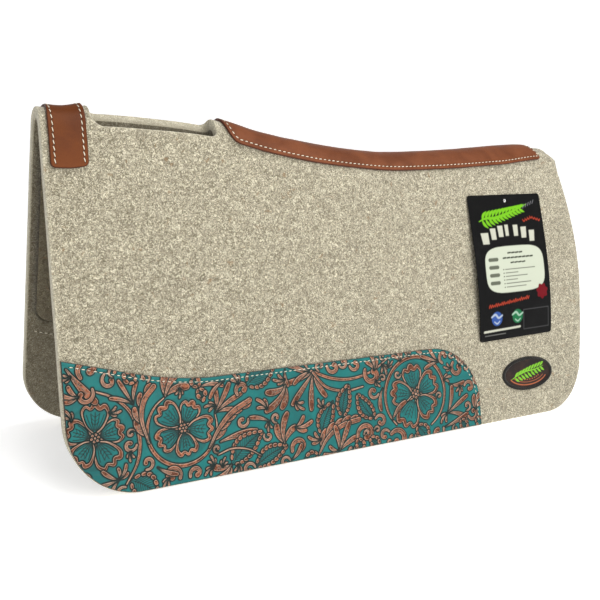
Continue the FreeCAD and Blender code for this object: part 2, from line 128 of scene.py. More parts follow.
# ------------------------------------------------------------------ felt halves
# Two halves of thick pressed wool felt, cut with square edges and rolled over the ridge, where
# they are drawn together. A slot over the withers is cut through both, lower on the near half.
# The skin of the pad: u runs back from the front edge, s down the outer face from the ridge,
# v up the slope from the foot, and out is the distance outward from the outer face. Metres.
MM = 0.001
LENGTH, HALF_SPREAD, THICK = 787 * MM, 122.5 * MM, 12.7 * MM
SPLAY = math.radians(14.6)
COS, SIN, TAN = math.cos(SPLAY), math.sin(SPLAY), math.tan(SPLAY)
CROWN = math.pi / 2 - SPLAY
RIDGE = MM * np.array([(-40, 398), (0, 399.5), (28, 398.5), (58, 403.5), (130, 401.5), (200, 395),
                       (263, 380), (330, 369.5), (390, 363), (446, 360), (510, 362.5), (571, 366.7),
                       (636, 372.6), (692, 377), (738, 376), (800, 373), (860, 370)])
NEAR, FAR = -1, 1
HALVES = {"near": NEAR, "far": FAR}


def ridge_height(u):
    x, z = RIDGE.T
    slope = np.zeros(len(x))
    slope[1:-1] = (z[2:] - z[:-2]) / (x[2:] - x[:-2])
    k = np.clip(np.searchsorted(x, u, side="right") - 1, 1, len(x) - 3)
    run = x[k + 1] - x[k]
    f = (u - x[k]) / run
    return ((2 * f**3 - 3 * f**2 + 1) * z[k] + (f**3 - 2 * f**2 + f) * run * slope[k]
            + (3 * f**2 - 2 * f**3) * z[k + 1] + (f**3 - f**2) * run * slope[k + 1])


def crown_radius(u):
    return (HALF_SPREAD - ridge_height(u) * TAN) * COS / (1 - SIN)


def slope_length(u):
    top, radius = ridge_height(u), crown_radius(u)
    return radius * CROWN + (top - radius + radius * SIN) / COS


def skin(u, s, out, side):
    """Points on the pad at u and s, out from the outer face."""
    u, s = np.asarray(u, float), np.asarray(s, float)
    radius = crown_radius(u)
    turn = np.minimum(s / radius, CROWN)
    leg = np.maximum(s - radius * CROWN, 0)
    y = (radius + out) * np.sin(turn) + leg * SIN
    z = ridge_height(u) - radius + (radius + out) * np.cos(turn) - leg * COS
    return np.stack(np.broadcast_arrays(u - LENGTH / 2, side * y, z), axis=-1)


def on_leg(u, v, out, side):
    """Points on the flat leg of a half, v up the slope from the foot."""
    u, v, out = np.broadcast_arrays(np.asarray(u, float), v, out)
    return np.stack([u - LENGTH / 2, side * (HALF_SPREAD - v * SIN + out * COS), v * COS + out * SIN],
                    axis=-1)


def run(*corners, step=3 * MM):
    """Points along straight lines between corners, without the last corner."""
    points = []
    for a, b in zip(corners[:-1], corners[1:]):
        a, b = np.array(a, float), np.array(b, float)
        count = max(int(round(np.linalg.norm(b - a) / step)), 1)
        points += [a + (b - a) * i / count for i in range(count)]
    return points


def bend(centre, radius, start_deg, end_deg, step=3 * MM):
    """Points along a circular arc, without its last point."""
    count = max(int(round(radius * math.radians(abs(end_deg - start_deg)) / step)), 3)
    angles = np.radians(start_deg + (end_deg - start_deg) * np.arange(count) / count)
    return [np.array(centre) + radius * np.array((math.cos(a), math.sin(a))) for a in angles]


def bow(a, b, c, step=3 * MM):
    """Points along the circle through a, b and c, without the last one."""
    a, b, c = (np.array(p, float) for p in (a, b, c))
    ab, ac = b - a, c - a
    d = 2 * (ab[0] * ac[1] - ab[1] * ac[0])
    centre = a + np.array([ac[1] * (ab @ ab) - ab[1] * (ac @ ac), ab[0] * (ac @ ac) - ac[0] * (ab @ ab)]) / d
    start, middle, end = (math.degrees(math.atan2(*(p - centre)[::-1])) for p in (a, b, c))
    if (middle - start) % 360 > (end - start) % 360:
        end -= 360 * (end > start)
    else:
        end += 360 * (end < start)
    return bend(centre, np.linalg.norm(a - centre), start, end, step)


def inward(loop):
    """Unit vectors to the left of a closed loop's direction of travel."""
    along = np.roll(loop, -1, 0) - np.roll(loop, 1, 0)
    along /= np.maximum(np.linalg.norm(along, axis=1, keepdims=True), 1e-9)
    return np.stack([-along[:, 1], along[:, 0]], axis=1)


def inside(points, loop):
    """True where a point lies inside a closed loop."""
    hit = np.zeros(len(points), bool)
    x, y = points.T
    for (x0, y0), (x1, y1) in zip(loop, np.roll(loop, -1, 0)):
        if y0 != y1:
            hit ^= ((y0 > y) != (y1 > y)) & (x < (x1 - x0) * (y - y0) / (y1 - y0) + x0)
    return hit


def distance_to(points, loop):
    """Distance from each point to the nearest corner of a finely divided loop."""
    return np.concatenate([np.sqrt(((part[:, None] - loop[None]) ** 2).sum(-1).min(1))
                           for part in np.array_split(points, len(points) // 2000 + 1)])


def fill(loops, spacing):
    """Triangles that fill the first loop, less the others: points, triangles."""
    corner = np.concatenate(loops)
    low, high = corner.min(0), corner.max(0)
    rows = np.arange(low[1], high[1], spacing * math.sqrt(0.75))
    grid = [np.arange(low[0] + shift * spacing / 2, high[0], spacing) for shift in (0, 1)]
    points = np.concatenate([np.column_stack([grid[i % 2], np.full(len(grid[i % 2]), y)])
                             for i, y in enumerate(rows)])

    def open_ground(spots):
        keep = inside(spots, loops[0])
        for hole in loops[1:]:
            keep &= ~inside(spots, hole)
        return keep
    points = points[open_ground(points)]
    points = points[distance_to(points, corner) > 0.6 * spacing]
    edges, start = [], 0
    for loop in loops:
        edges += [(start + i, start + (i + 1) % len(loop)) for i in range(len(loop))]
        start += len(loop)
    every = np.concatenate([corner, points])
    made = geometry.delaunay_2d_cdt([Vector(p) for p in every], edges, [], 0, 1e-7)
    points = np.array([tuple(p) for p in made[0]])
    triangles = np.array(made[2])
    return points, triangles[open_ground(points[triangles].mean(1))]


def slab(loop, front, behind, spacing, rim, soft=None, hole=None, hole_depth=0):
    """A flat-cut piece with rounded edges. Gives a list of (u, v, out, edge) points and the faces.

    rim is the radius of its edges, soft says how much of it each loop point gets, and edge is 1 at
    the cut edge, falling to 0 in the middle. A hole is a shallow recess in the face behind."""
    loop = np.array(loop)
    soft = np.ones(len(loop)) if soft is None else soft
    normal = inward(loop)
    inner = loop + normal * (rim * soft)[:, None]
    points, triangles = fill([inner], spacing)
    count = len(points)
    fade = 1 - np.clip(distance_to(points, loop) / (3 * MM), 0, 1)
    layers = [np.column_stack([points, np.full(count, front), fade])]
    faces = [tuple(t) for t in triangles]
    total = count

    def sheet_behind(points, triangles, out, fade):
        """A sheet that faces the other way. Gives the number of points so far, with its own."""
        layers.append(np.column_stack([points, np.full(len(points), out), fade]))
        faces.extend(tuple(t[::-1] + total) for t in triangles)
        return total + len(points)
    if hole is None:
        total = sheet_behind(points, triangles, behind, fade)
    else:
        hole = np.array(hole)
        around = fill([inner, hole], spacing * 1.6)
        total = sheet_behind(*around, behind, np.zeros(len(around[0])))
        wall_top, wall_low, n = count + len(inner), total, len(hole)
        recess = fill([hole], spacing * 3)
        total = sheet_behind(*recess, behind + hole_depth, np.zeros(len(recess[0])))
        faces += [(wall_top + i, wall_top + (i + 1) % n, wall_low + (i + 1) % n, wall_low + i)
                  for i in range(n)]
    rounded = [(1 - math.cos(math.radians(a)), rim * (1 - math.sin(math.radians(a)))) for a in (60, 30, 0)]
    straight = max(int((front - behind - 2 * rim) / (2 * MM)), 1)
    rings = [(share, front - drop) for share, drop in rounded]
    rings += [(0, front - rim - (front - behind - 2 * rim) * i / straight) for i in range(1, straight)]
    rings += [(share, behind + drop) for share, drop in rounded[::-1]]
    n = len(loop)
    starts = [0]
    for share, out in rings:
        starts.append(total)
        ring = loop + normal * (rim * soft * share)[:, None]
        layers.append(np.column_stack([ring, np.full(n, out), np.ones(n)]))
        total += n
    starts.append(count)
    for a, b in zip(starts[:-1], starts[1:]):
        faces += [(a + i, b + i, b + (i + 1) % n, a + (i + 1) % n) for i in range(n)]
    return np.concatenate(layers), faces


def ripple(u, v, size, seed):
    """A smooth uneven surface, about -1 to 1, of a few crossed waves of roughly that size."""
    draw = np.random.default_rng(seed)
    total = np.zeros_like(u)
    for _ in range(9):
        angle, shift = draw.uniform(0, math.pi), draw.uniform(0, 2 * math.pi)
        wave = 2 * math.pi / (size * draw.uniform(0.7, 1.5))
        total += np.sin((u * math.cos(angle) + v * math.sin(angle)) * wave + shift
                        + 1.3 * np.sin((v * math.cos(angle) - u * math.sin(angle)) * wave * 0.6 + shift))
    return total / 4.5


def sided(name, points, faces, material, side):
    """A piece of one half. The far half mirrors the near one, so its faces are turned over."""
    piece = solid(name, points, faces, material)
    if side == FAR:
        piece.data.flip_normals()
    return piece


def ride_on(body, slot, piece, *nodes):
    """The piece is fixed to a body, and stands for the named nodes."""
    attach(piece, body)
    if nodes:
        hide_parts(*nodes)


def follow_flex(piece, half, slot, *nodes):
    """The piece keeps its place, baked into its points, and stands for the named nodes. The half is not used.
    """
    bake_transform(piece)
    if nodes:
        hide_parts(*nodes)


def store(piece, name, values):
    """A number for each point of a piece, which its material reads."""
    attribute = piece.data.attributes.new(name, "FLOAT", "POINT")
    attribute.data.foreach_set("value", np.asarray(values, np.float32))


front_corner, rear_corner, rear_foot = 79 * MM, 77 * MM, 775 * MM
slot_front, slot_rear, slot_front_corner, slot_rear_corner = 54 * MM, 199 * MM, 15 * MM, 7 * MM
slot_lips = {"near": 34 * MM, "far": 20 * MM}
rear_top, ridge_end = 743 * MM, 742.3 * MM
felt_rim = 1.9 * MM


def up_slope(points):
    """Side-view points (u, height) on the flat leg, as (u, v)."""
    return [np.array((p[0], p[1] / COS)) for p in points]


def under_ridge(points):
    """Points (u, s) near the ridge, as (u, v)."""
    return [np.array((p[0], float(slope_length(p[0])) - p[1])) for p in points]


def felt_loop(lip):
    """The outline of a half, from the front corner round by the foot, the rear and the ridge."""
    foot = bend((front_corner, front_corner), front_corner, 180, 270)
    foot += run((front_corner, 0), (rear_foot - rear_corner, 0))
    foot += bend((rear_foot - rear_corner, rear_corner), rear_corner, 270, 360)
    rear = bow((rear_foot, rear_corner), (783 * MM, 130 * MM), (787 * MM, 198 * MM))
    rear += bow((787 * MM, 198 * MM), (778 * MM, 274 * MM), (756 * MM, 344 * MM))
    ridge = run((754.5 * MM, 33 * MM), (rear_top, 20 * MM), (ridge_end, 0), (slot_rear, 0),
                (slot_rear, lip - slot_rear_corner))
    r = slot_rear_corner
    ridge += bend((slot_rear - r, lip - r), r, 0, 90, 1.5 * MM)
    r = slot_front_corner
    ridge += run((slot_rear - slot_rear_corner, lip), (slot_front + r, lip))
    ridge += bend((slot_front + r, lip - r), r, 90, 180, 1.5 * MM)
    ridge += run((slot_front, lip - r), (slot_front, 0), (0, 0), (0, 300 * MM))
    front = run((0, float(slope_length(0)) - 300 * MM), (0, front_corner / COS))
    return np.array(up_slope(foot + rear) + under_ridge(ridge) + front)


underlay_front, underlay_rear, underlay_base, underlay_corner = 11 * MM, 748 * MM, 155 * MM, 20 * MM


def underlay_loop(grow):
    """The outline of the let-in underlay in u and v."""
    u0, u1, v0, r = underlay_front - grow, underlay_rear + grow, underlay_base - grow, underlay_corner
    loop = run((u0 + r, v0), (u1 - r, v0)) + bend((u1 - r, v0 + r), r, 270, 360)
    loop += run((u1, v0 + r), (u1, 250 * MM), (u1 - 22 * MM, 346 * MM + grow))
    loop += bow((u1 - 22 * MM, 346 * MM + grow), (455 * MM, 334 * MM + grow), (230 * MM, 353 * MM + grow))
    loop += run((230 * MM, 353 * MM + grow), (u0, 378 * MM + grow), (u0, v0 + r))
    return np.array(loop + bend((u0 + r, v0 + r), r, 180, 270))


def felt_place(points, side):
    """Felt points to the row frame. Near the foot the cut is level, so that the pad stands on it."""
    u, v, out = points[:, 0], points[:, 1], points[:, 2]
    level = np.clip(1 - (v - 40 * MM) / (60 * MM), 0, 1)
    return skin(u, slope_length(u) - v + out * TAN * level * level * (3 - 2 * level), out, side)


def node(tree, kind, settings=None, values=None, **sockets):
    """A shader node. Its sockets are named, or numbered in values, and take a number or a link."""
    made = tree.nodes.new("ShaderNode" + kind)
    for name, value in (settings or {}).items():
        setattr(made, name, value)
    named = [(made.inputs[name.replace("_", " ")], value) for name, value in sockets.items()]
    for socket, value in named + [(made.inputs[i], value) for i, value in (values or {}).items()]:
        if isinstance(value, bpy.types.NodeSocket):
            tree.links.new(value, socket)
        else:
            socket.default_value = value
    return made


def sums(tree, operation, a, b=0.0, clamp=False):
    return node(tree, "Math", {"operation": operation, "use_clamp": clamp}, {0: a, 1: b}).outputs[0]


def times(tree, a, b):
    return sums(tree, "MULTIPLY", a, b)


def between(tree, value, low, high, start=0.0, end=1.0):
    """A value from low to high, mapped smoothly to start to end."""
    return node(tree, "MapRange", {"interpolation_type": "SMOOTHSTEP"},
                {0: value, 1: low, 2: high, 3: start, 4: end}).outputs[0]


def tint(tree, factor, a, b, blend="MIX"):
    """Two colours mixed."""
    a, b = (x if isinstance(x, bpy.types.NodeSocket) else (*x, 1) for x in (a, b))
    return node(tree, "Mix", {"data_type": "RGBA", "blend_type": blend}, {0: factor, 6: a, 7: b}).outputs[2]


def stored(tree, name):
    """The numbers that store gave to a piece, as its material reads them."""
    return node(tree, "Attribute", {"attribute_name": name}).outputs["Fac"]


def noise(tree, scale, detail, **more):
    """Cloudy noise through the piece, 0 to 1."""
    spot = node(tree, "TexCoord").outputs["Object"]
    return node(tree, "TexNoise", Vector=spot, Scale=scale, Detail=detail, **more).outputs["Fac"]


def feed(tree, target, **sockets):
    """Links from values to the named inputs of a node."""
    for name, value in sockets.items():
        tree.links.new(value, target.inputs[name.replace("_", " ")])


def bump(tree, shader, height, strength, distance):
    """Fine relief in the shading only, distance in millimetres."""
    relief = node(tree, "Bump", Strength=strength, Distance=distance * MM, Height=height)
    feed(tree, shader, Normal=relief.outputs[0])


def blank_material(name, **constants):
    """A new material: its node tree and its shader, with the shader's constant values set."""
    material = bpy.data.materials.new(name)
    material.use_nodes = True
    tree = material.node_tree
    shader = tree.nodes["Principled BSDF"]
    for socket, value in constants.items():
        shader.inputs[socket.replace("_", " ")].default_value = value
    return material, tree, shader


def blank_group(name, inputs, outputs):
    """A new node group: its tree, its input node and its output node."""
    tree = bpy.data.node_groups.new(name, "ShaderNodeTree")
    for label, kind, value in inputs:
        socket = tree.interface.new_socket(label, in_out="INPUT", socket_type="NodeSocket" + kind)
        if kind == "Float":
            socket.default_value = value
    for label, kind in outputs:
        tree.interface.new_socket(label, in_out="OUTPUT", socket_type="NodeSocket" + kind)
    return tree, tree.nodes.new("NodeGroupInput"), tree.nodes.new("NodeGroupOutput")


def place_group(tree, group, scale):
    """A node group laid through the piece: its outputs."""
    spot = node(tree, "TexCoord").outputs["Object"]
    return node(tree, "Group", {"node_tree": group}, Vector=spot, Scale=scale).outputs


def wool_group():
    """Matted wool: short pale and dark fibres that cross each other, and broad uneven shade."""
    tree, into, out = blank_group("matted_wool", [("Vector", "Vector", 0), ("Scale", "Float", 1.0)],
                                  [("Pale", "Float"), ("Dark", "Float"), ("Shade", "Float"),
                                   ("Tan", "Float"), ("Mottle", "Float"), ("Height", "Float")])
    vector, scale = into.outputs["Vector"], into.outputs["Scale"]

    def cloud(size, detail, warp, shift):
        moved = node(tree, "VectorMath", {"operation": "ADD"}, {0: vector, 1: (shift, shift * 0.7, 0)})
        return node(tree, "TexNoise", Vector=moved.outputs[0], Scale=times(tree, scale, size),
                    Detail=detail, Roughness=0.55, Distortion=warp).outputs["Fac"]

    def crest(value, width):
        off = sums(tree, "ABSOLUTE", sums(tree, "SUBTRACT", value, 0.5))
        return between(tree, off, 0.0, width, 1.0, 0.0)
    pale = crest(cloud(240, 2, 1.5, 0.0), 0.12)
    pale_two = crest(cloud(400, 1.5, 1.1, 3.1), 0.10)
    dark = crest(cloud(205, 2, 1.7, 7.3), 0.12)
    dark_two = crest(cloud(350, 1.5, 1.2, 5.7), 0.09)
    grain = cloud(900, 2, 0.3, 1.9)
    lumps = sums(tree, "ADD", times(tree, pale, 0.6), times(tree, grain, 0.6))
    feed(tree, out, Pale=sums(tree, "MAXIMUM", pale, times(tree, pale_two, 0.75)),
         Dark=sums(tree, "MAXIMUM", dark, times(tree, dark_two, 0.7)), Shade=cloud(16, 4, 0.4, 2.2),
         Tan=between(tree, cloud(95, 4, 0.8, 4.4), 0.655, 0.70),
         Mottle=between(tree, cloud(135, 3, 0.8, 6.1), 0.40, 0.60),
         Height=sums(tree, "SUBTRACT", lumps, times(tree, dark, 0.5)))
    return tree


matted_wool = wool_group()


def felt_material(name, ground, pale, dark, tan, relief=0.5):
    material, tree, shader = blank_material(name, Roughness=0.95, Specular_IOR_Level=0.15,
                                            Sheen_Weight=0.25, Sheen_Roughness=0.6)
    wool = place_group(tree, matted_wool, 1.0)
    shade = between(tree, wool["Shade"], 0.3, 0.7, 0.0, 0.55)
    colour = tint(tree, shade, ground, tuple(0.82 * c for c in ground))
    colour = tint(tree, times(tree, wool["Pale"], 0.9), colour, pale)
    colour = tint(tree, times(tree, wool["Dark"], 0.85), colour, dark)
    colour = tint(tree, times(tree, wool["Mottle"], 0.15), colour, dark)
    colour = tint(tree, times(tree, wool["Tan"], 0.55), colour, tan)
    # Painted shade: the inner face of the felt, inside the pad, is mixed towards a darker brown.
    colour = tint(tree, times(tree, stored(tree, "inner"), 0.62), colour, tuple(1.2 * c for c in dark))
    colour = tint(tree, times(tree, stored(tree, "edge"), 0.25), colour, pale)
    feed(tree, shader, Base_Color=colour)
    bump(tree, shader, wool["Height"], relief, 0.6)
    return material


def uneven(u, v, side):
    """How far the pressed felt stands out or in at a point, less near the foot and the ridge."""
    away = np.clip(np.minimum(v, slope_length(u) - v) / (25 * MM), 0, 1)
    broad = 0.45 * MM * ripple(u, v, 0.09, 3 + side) + 0.14 * MM * ripple(u, v, 0.021, 9 + side)
    around = slope_length(u) - v
    drawn = np.clip((u - 28 * MM) / (14 * MM), 0, 1) * np.clip((50 * MM - u) / (4 * MM), 0, 1)
    pressed = 0.8 * MM * drawn * np.exp(-(around / (34 * MM)) ** 2)
    return broad * away + 0.10 * MM * ripple(u, v, 0.008, 15 + side) - pressed


wool_felt = felt_material("wool_felt", (0.36, 0.32, 0.213), (0.78, 0.72, 0.545), (0.068, 0.053, 0.028),
                          (0.20, 0.11, 0.04))
felt_pieces = {}
for half, side in HALVES.items():
    points, faces = slab(felt_loop(slot_lips[half]), 0, -THICK, 4.2 * MM, felt_rim,
                         hole=underlay_loop(0.6 * MM)[::-1], hole_depth=4 * MM)
    points[:, 2] += uneven(points[:, 0], points[:, 1], side)
    place = felt_place(points, side)
    place[:, 1] = side * np.maximum(side * place[:, 1], 0)
    piece = sided("felt_" + half, place, faces, wool_felt, side)
    store(piece, "edge", points[:, 3])
    # The inner face is marked for the painted shade in the felt's colour.
    store(piece, "inner", np.clip((-0.55 * THICK - points[:, 2]) / (0.2 * THICK), 0, 1))
    follow_flex(piece, half, "felt", "felt_half_" + half)
    felt_pieces[half] = (piece, points, place)

# ------------------------------------------------------------------ let-in underlays
# A thinner layer of needled wool, let in flush with the inner face of each half and glued. It lies
# against the horse, and its joint shows as a fine line.
# Most of the darkness of this wool's colour is painted shade for the inside of the pad; the rest is the
# wool's own darker tone.
needled_wool_with_painted_shade = felt_material("needled_wool_with_painted_shade", (0.165, 0.137, 0.082), (0.27, 0.23, 0.145),
                             (0.06, 0.046, 0.024), (0.16, 0.09, 0.04), relief=0.7)
for half, side in HALVES.items():
    points, faces = slab(underlay_loop(0), -THICK + 3.9 * MM, -THICK, 8 * MM, 0.7 * MM)
    points[:, 2] += uneven(points[:, 0], points[:, 1], side)
    piece = sided("underlay_layer_" + half, felt_place(points, side), faces, needled_wool_with_painted_shade, side)
    store(piece, "edge", points[:, 3] * 0.3)
    ride_on(half + "_side", "underlay", piece, "underlay_" + half)

# ------------------------------------------------------------------ spine leather
# Reddish harness leather over the seam, from behind the slot to the loin. It is cut with a blunt
# round nose, bevelled and dyed at the edge, and sewn down through the felt all round.
SPINE_FRONT, SPINE_NOSE, SPINE_WIDE = 209 * MM, 18 * MM, 40 * MM
SPINE_REAR_RIDGE, SPINE_REAR_CORNER, SPINE_REAR_WIDE = 709 * MM, 722 * MM, 33.5 * MM
LEATHER_LOW, LEATHER_TOP = 0.3 * MM, 3.5 * MM
STITCH_PITCH, STITCH_INSET = 6.4 * MM, 4.6 * MM


def leather_group():
    """Fine pebbled grain of smooth leather: creases as a mask, soft stain, and the height."""
    tree, into, out = blank_group("leather_grain", [("Vector", "Vector", 0), ("Scale", "Float", 1.0)],
                                  [("Crease", "Float"), ("Stain", "Float"), ("Scuff", "Float"),
                                   ("Height", "Float")])
    vector, scale = into.outputs["Vector"], into.outputs["Scale"]
    pebble = node(tree, "TexVoronoi", {"feature": "DISTANCE_TO_EDGE"}, Vector=vector,
                  Scale=times(tree, scale, 900.0)).outputs["Distance"]

    def cloud(size, detail, **more):
        return node(tree, "TexNoise", Vector=vector, Scale=times(tree, scale, size), Detail=detail,
                    **more).outputs["Fac"]
    crease = between(tree, pebble, 0.0, 0.16, 1.0, 0.0)
    feed(tree, out, Crease=crease, Stain=between(tree, cloud(34.0, 5.0, Distortion=0.6), 0.3, 0.7),
         Scuff=between(tree, cloud(150.0, 6.0, Roughness=0.7), 0.55, 0.75),
         Height=sums(tree, "ADD", times(tree, crease, -0.6), times(tree, cloud(1400.0, 3.0), 0.5)))
    return tree


leather_grain = leather_group()


def smooth_leather(name, light, deep, edge_colour, roughness):
    material, tree, shader = blank_material(name, Specular_IOR_Level=0.12)
    grain = place_group(tree, leather_grain, 1.0)
    colour = tint(tree, grain["Stain"], deep, light)
    # Painted light: the leather is mixed lighter down the sides than over the ridge, where it rolls away from
    # the light.
    colour = tint(tree, times(tree, stored(tree, "low"), 0.55), colour, tuple(1.35 * c for c in light))
    colour = tint(tree, times(tree, grain["Crease"], 0.28), colour, tuple(0.5 * c for c in deep))
    colour = tint(tree, times(tree, grain["Scuff"], 0.18), colour, tuple(1.5 * c for c in light))
    colour = tint(tree, between(tree, stored(tree, "edge"), 0.35, 0.95, 0.0, 0.85), colour, edge_colour)
    feed(tree, shader, Base_Color=colour,
         Roughness=sums(tree, "ADD", roughness, times(tree, grain["Stain"], 0.12)))
    bump(tree, shader, grain["Height"], 0.35, 0.12)
    return material


def waxed_thread(name, colour, soil):
    """Twisted waxed thread with a little soil between its plies."""
    material, tree, shader = blank_material(name, Roughness=0.6, Specular_IOR_Level=0.3, Sheen_Weight=0.1)
    fluff = noise(tree, 1500.0, 3.0)
    soiled = times(tree, between(tree, noise(tree, 60.0, 2.0), 0.35, 0.7), between(tree, fluff, 0.3, 0.7))
    feed(tree, shader, Base_Color=tint(tree, soiled, colour, soil))
    bump(tree, shader, fluff, 0.5, 0.1)
    return material


cream_thread = waxed_thread("cream_thread", (0.72, 0.68, 0.54), (0.45, 0.38, 0.26))
# Small dark discs at the ends of each stitch: painted shade for the awl holes the thread passes through.
painted_hole_shade = plain_material("awl_hole_painted_shade", (0.035, 0.02, 0.012), 0.9)


def resample(path, pitch):
    """Evenly spaced points on a line of points, and the line's direction at each."""
    path = np.array(path)
    length = np.concatenate([[0], np.cumsum(np.linalg.norm(np.diff(path, axis=0), axis=1))])
    count = max(int(round(length[-1] / pitch)), 1)
    at = length[-1] * (np.arange(count) + 0.5) / count
    points, ahead, behind = (np.stack([np.interp(at + shift * pitch, length, path[:, k]) for k in (0, 1)],
                                      axis=1) for shift in (0, 0.3, -0.3))
    along = ahead - behind
    return points, along / np.linalg.norm(along, axis=1, keepdims=True)


def tube_faces(rows, around, first=0):
    """The faces of a tube of points stored ring by ring from the first point, with both ends closed."""
    ring = np.arange(around) + first
    return ((grid_faces(rows, around, wrap=True) + first).tolist()
            + [ring[::-1].tolist(), (ring + (rows - 1) * around).tolist()])


def repeated(faces, size, count):
    """The faces of count copies of a part of size points."""
    return [[i * size + k for k in face] for i in range(count) for face in faces]


def stitch_row(name, paths, place, out, facing=1, long=4.5 * MM, thick=0.52 * MM, lean=7.0):
    """Stitches along paths of (u, v). place(u, v, out) gives the row frame. Thread, then dark discs at its
    holes as painted shade.
    """
    rows, around = 9, 8
    t = np.linspace(-1, 1, rows)
    angle = np.linspace(0, 2 * math.pi, around, endpoint=False)
    tilt = math.radians(lean)
    thread, holes = [], []
    prick = angle[:, None]
    for path in paths:
        spots, along = resample(path, STITCH_PITCH)
        turned = np.stack([along[:, 0] * math.cos(tilt) - along[:, 1] * math.sin(tilt),
                           along[:, 0] * math.sin(tilt) + along[:, 1] * math.cos(tilt)], axis=1)
        centre = place(spots[:, 0], spots[:, 1], out)
        ahead = place(spots[:, 0] + turned[:, 0] * MM, spots[:, 1] + turned[:, 1] * MM, out) - centre
        up = (place(spots[:, 0], spots[:, 1], out + MM) - centre) * facing
        ahead /= np.linalg.norm(ahead, axis=1, keepdims=True)
        up -= ahead * (up * ahead).sum(1, keepdims=True)
        up /= np.linalg.norm(up, axis=1, keepdims=True)
        across = np.cross(up, ahead)
        for c, x, y, z in zip(centre, ahead, across, up):
            size = long * rng.uniform(0.94, 1.04) / 2
            sink = thick * (0.35 - 1.5 * np.abs(t) ** 3.2)
            body = thick * (1 - 0.55 * np.abs(t) ** 4)
            ply = 1 + 0.13 * np.cos(2 * angle[None, :] - 5.5 * t[:, None])
            ring = (c + size * t[:, None, None] * x
                    + (body[:, None] * ply * np.cos(angle))[..., None] * y
                    + ((0.8 * body[:, None] * ply * np.sin(angle)) + sink[:, None])[..., None] * z)
            thread.append(ring.reshape(-1, 3))
            # Each end of the stitch gets a small dark disc, painted shade for its hole.
            for end in (-1, 1):
                at = c + end * size * 1.06 * x
                rim = at + 0.62 * MM * (np.cos(prick) * x + np.sin(prick) * y) + 0.05 * MM * z
                holes.append(np.vstack([rim, at + 0.12 * MM * z]))
    faces = repeated(tube_faces(rows, around), rows * around, len(thread))
    made = solid(name, np.concatenate(thread), faces, cream_thread)
    cap = [[k, (k + 1) % around, around] for k in range(around)] + [list(range(around))[::-1]]
    faces = repeated(cap, around + 1, len(holes))
    hole_shade_discs = solid(name.replace("thread", "holes"), np.concatenate(holes), faces, painted_hole_shade)
    return made, hole_shade_discs


def flap(name, loop, ridge_free, groove_paths, side, material, spacing=1.3 * MM):
    """Leather bent over the ridge, the half on one side, with a pressed groove under its stitches."""
    points, faces = slab(loop, LEATHER_TOP, LEATHER_LOW, spacing, 0.9 * MM, soft=ridge_free)
    uv = points[:, :2]
    free = np.array(loop)[ridge_free > 0.5]
    edge = 1 - np.clip((distance_to(uv, free) - 0.2 * MM) / (1.6 * MM), 0, 1)
    groove = distance_to(uv, np.concatenate([resample(path, 1.0 * MM)[0] for path in groove_paths]))
    upper = np.clip((points[:, 2] - LEATHER_LOW) / (LEATHER_TOP - LEATHER_LOW), 0, 1)
    points[:, 2] -= upper * 0.32 * MM * np.exp(-(groove / (1.1 * MM)) ** 2)
    points[:, 2] += upper * 0.12 * MM * ripple(uv[:, 0], uv[:, 1], 0.03, 31)
    s = np.maximum(slope_length(points[:, 0]) - points[:, 1], 0)
    piece = sided(name, skin(points[:, 0], s, points[:, 2], side), faces, material, side)
    store(piece, "edge", np.maximum(edge, points[:, 3] * (points[:, 2] < LEATHER_TOP - 1.0 * MM)
                                    * (s > 2 * MM)))
    # How far down the side each point is, for the painted light in the leather's colour.
    store(piece, "low", np.clip((s - 0.035) / 0.04, 0, 1))
    return piece


def over_skin(u, v, out, side):
    """Points on the pad at u and v, out from the outer face."""
    return skin(u, np.maximum(slope_length(u) - v, 0), out, side)


def from_ridge(points):
    """Points (u, s) as an array of (u, v)."""
    points = np.array(points)
    return np.column_stack([points[:, 0], slope_length(points[:, 0]) - points[:, 1]])


def spine_edge(inset):
    """The free edge of the spine leather on one half, as (u, s), moved in by inset."""
    wide, nose = SPINE_WIDE - 4 * MM - inset, SPINE_NOSE - inset
    start = SPINE_FRONT + inset
    edge = [(start + nose * (1 - (1 - f * f) ** (1 / 2.4)), wide * f)
            for f in np.concatenate([np.linspace(0, 0.95, 18), [0.975, 0.993]])]
    corner = 5 * MM - 0.6 * inset
    for u in np.arange(SPINE_FRONT + SPINE_NOSE, SPINE_REAR_CORNER - inset - corner, 2.5 * MM):
        swell = 4 * MM * min((u - SPINE_FRONT) / (120 * MM), 1)
        taper = (SPINE_WIDE - SPINE_REAR_WIDE) * max((u - 640 * MM) / (82 * MM), 0) ** 1.6
        edge.append((u, wide + swell - taper))
    u1, s1 = edge[-1]
    edge += [(u1 + corner * math.sin(a), s1 - corner * (1 - math.cos(a))) for a in (0.45, 0.9, 1.3)]
    edge.append((SPINE_REAR_RIDGE - inset, 0))
    return edge


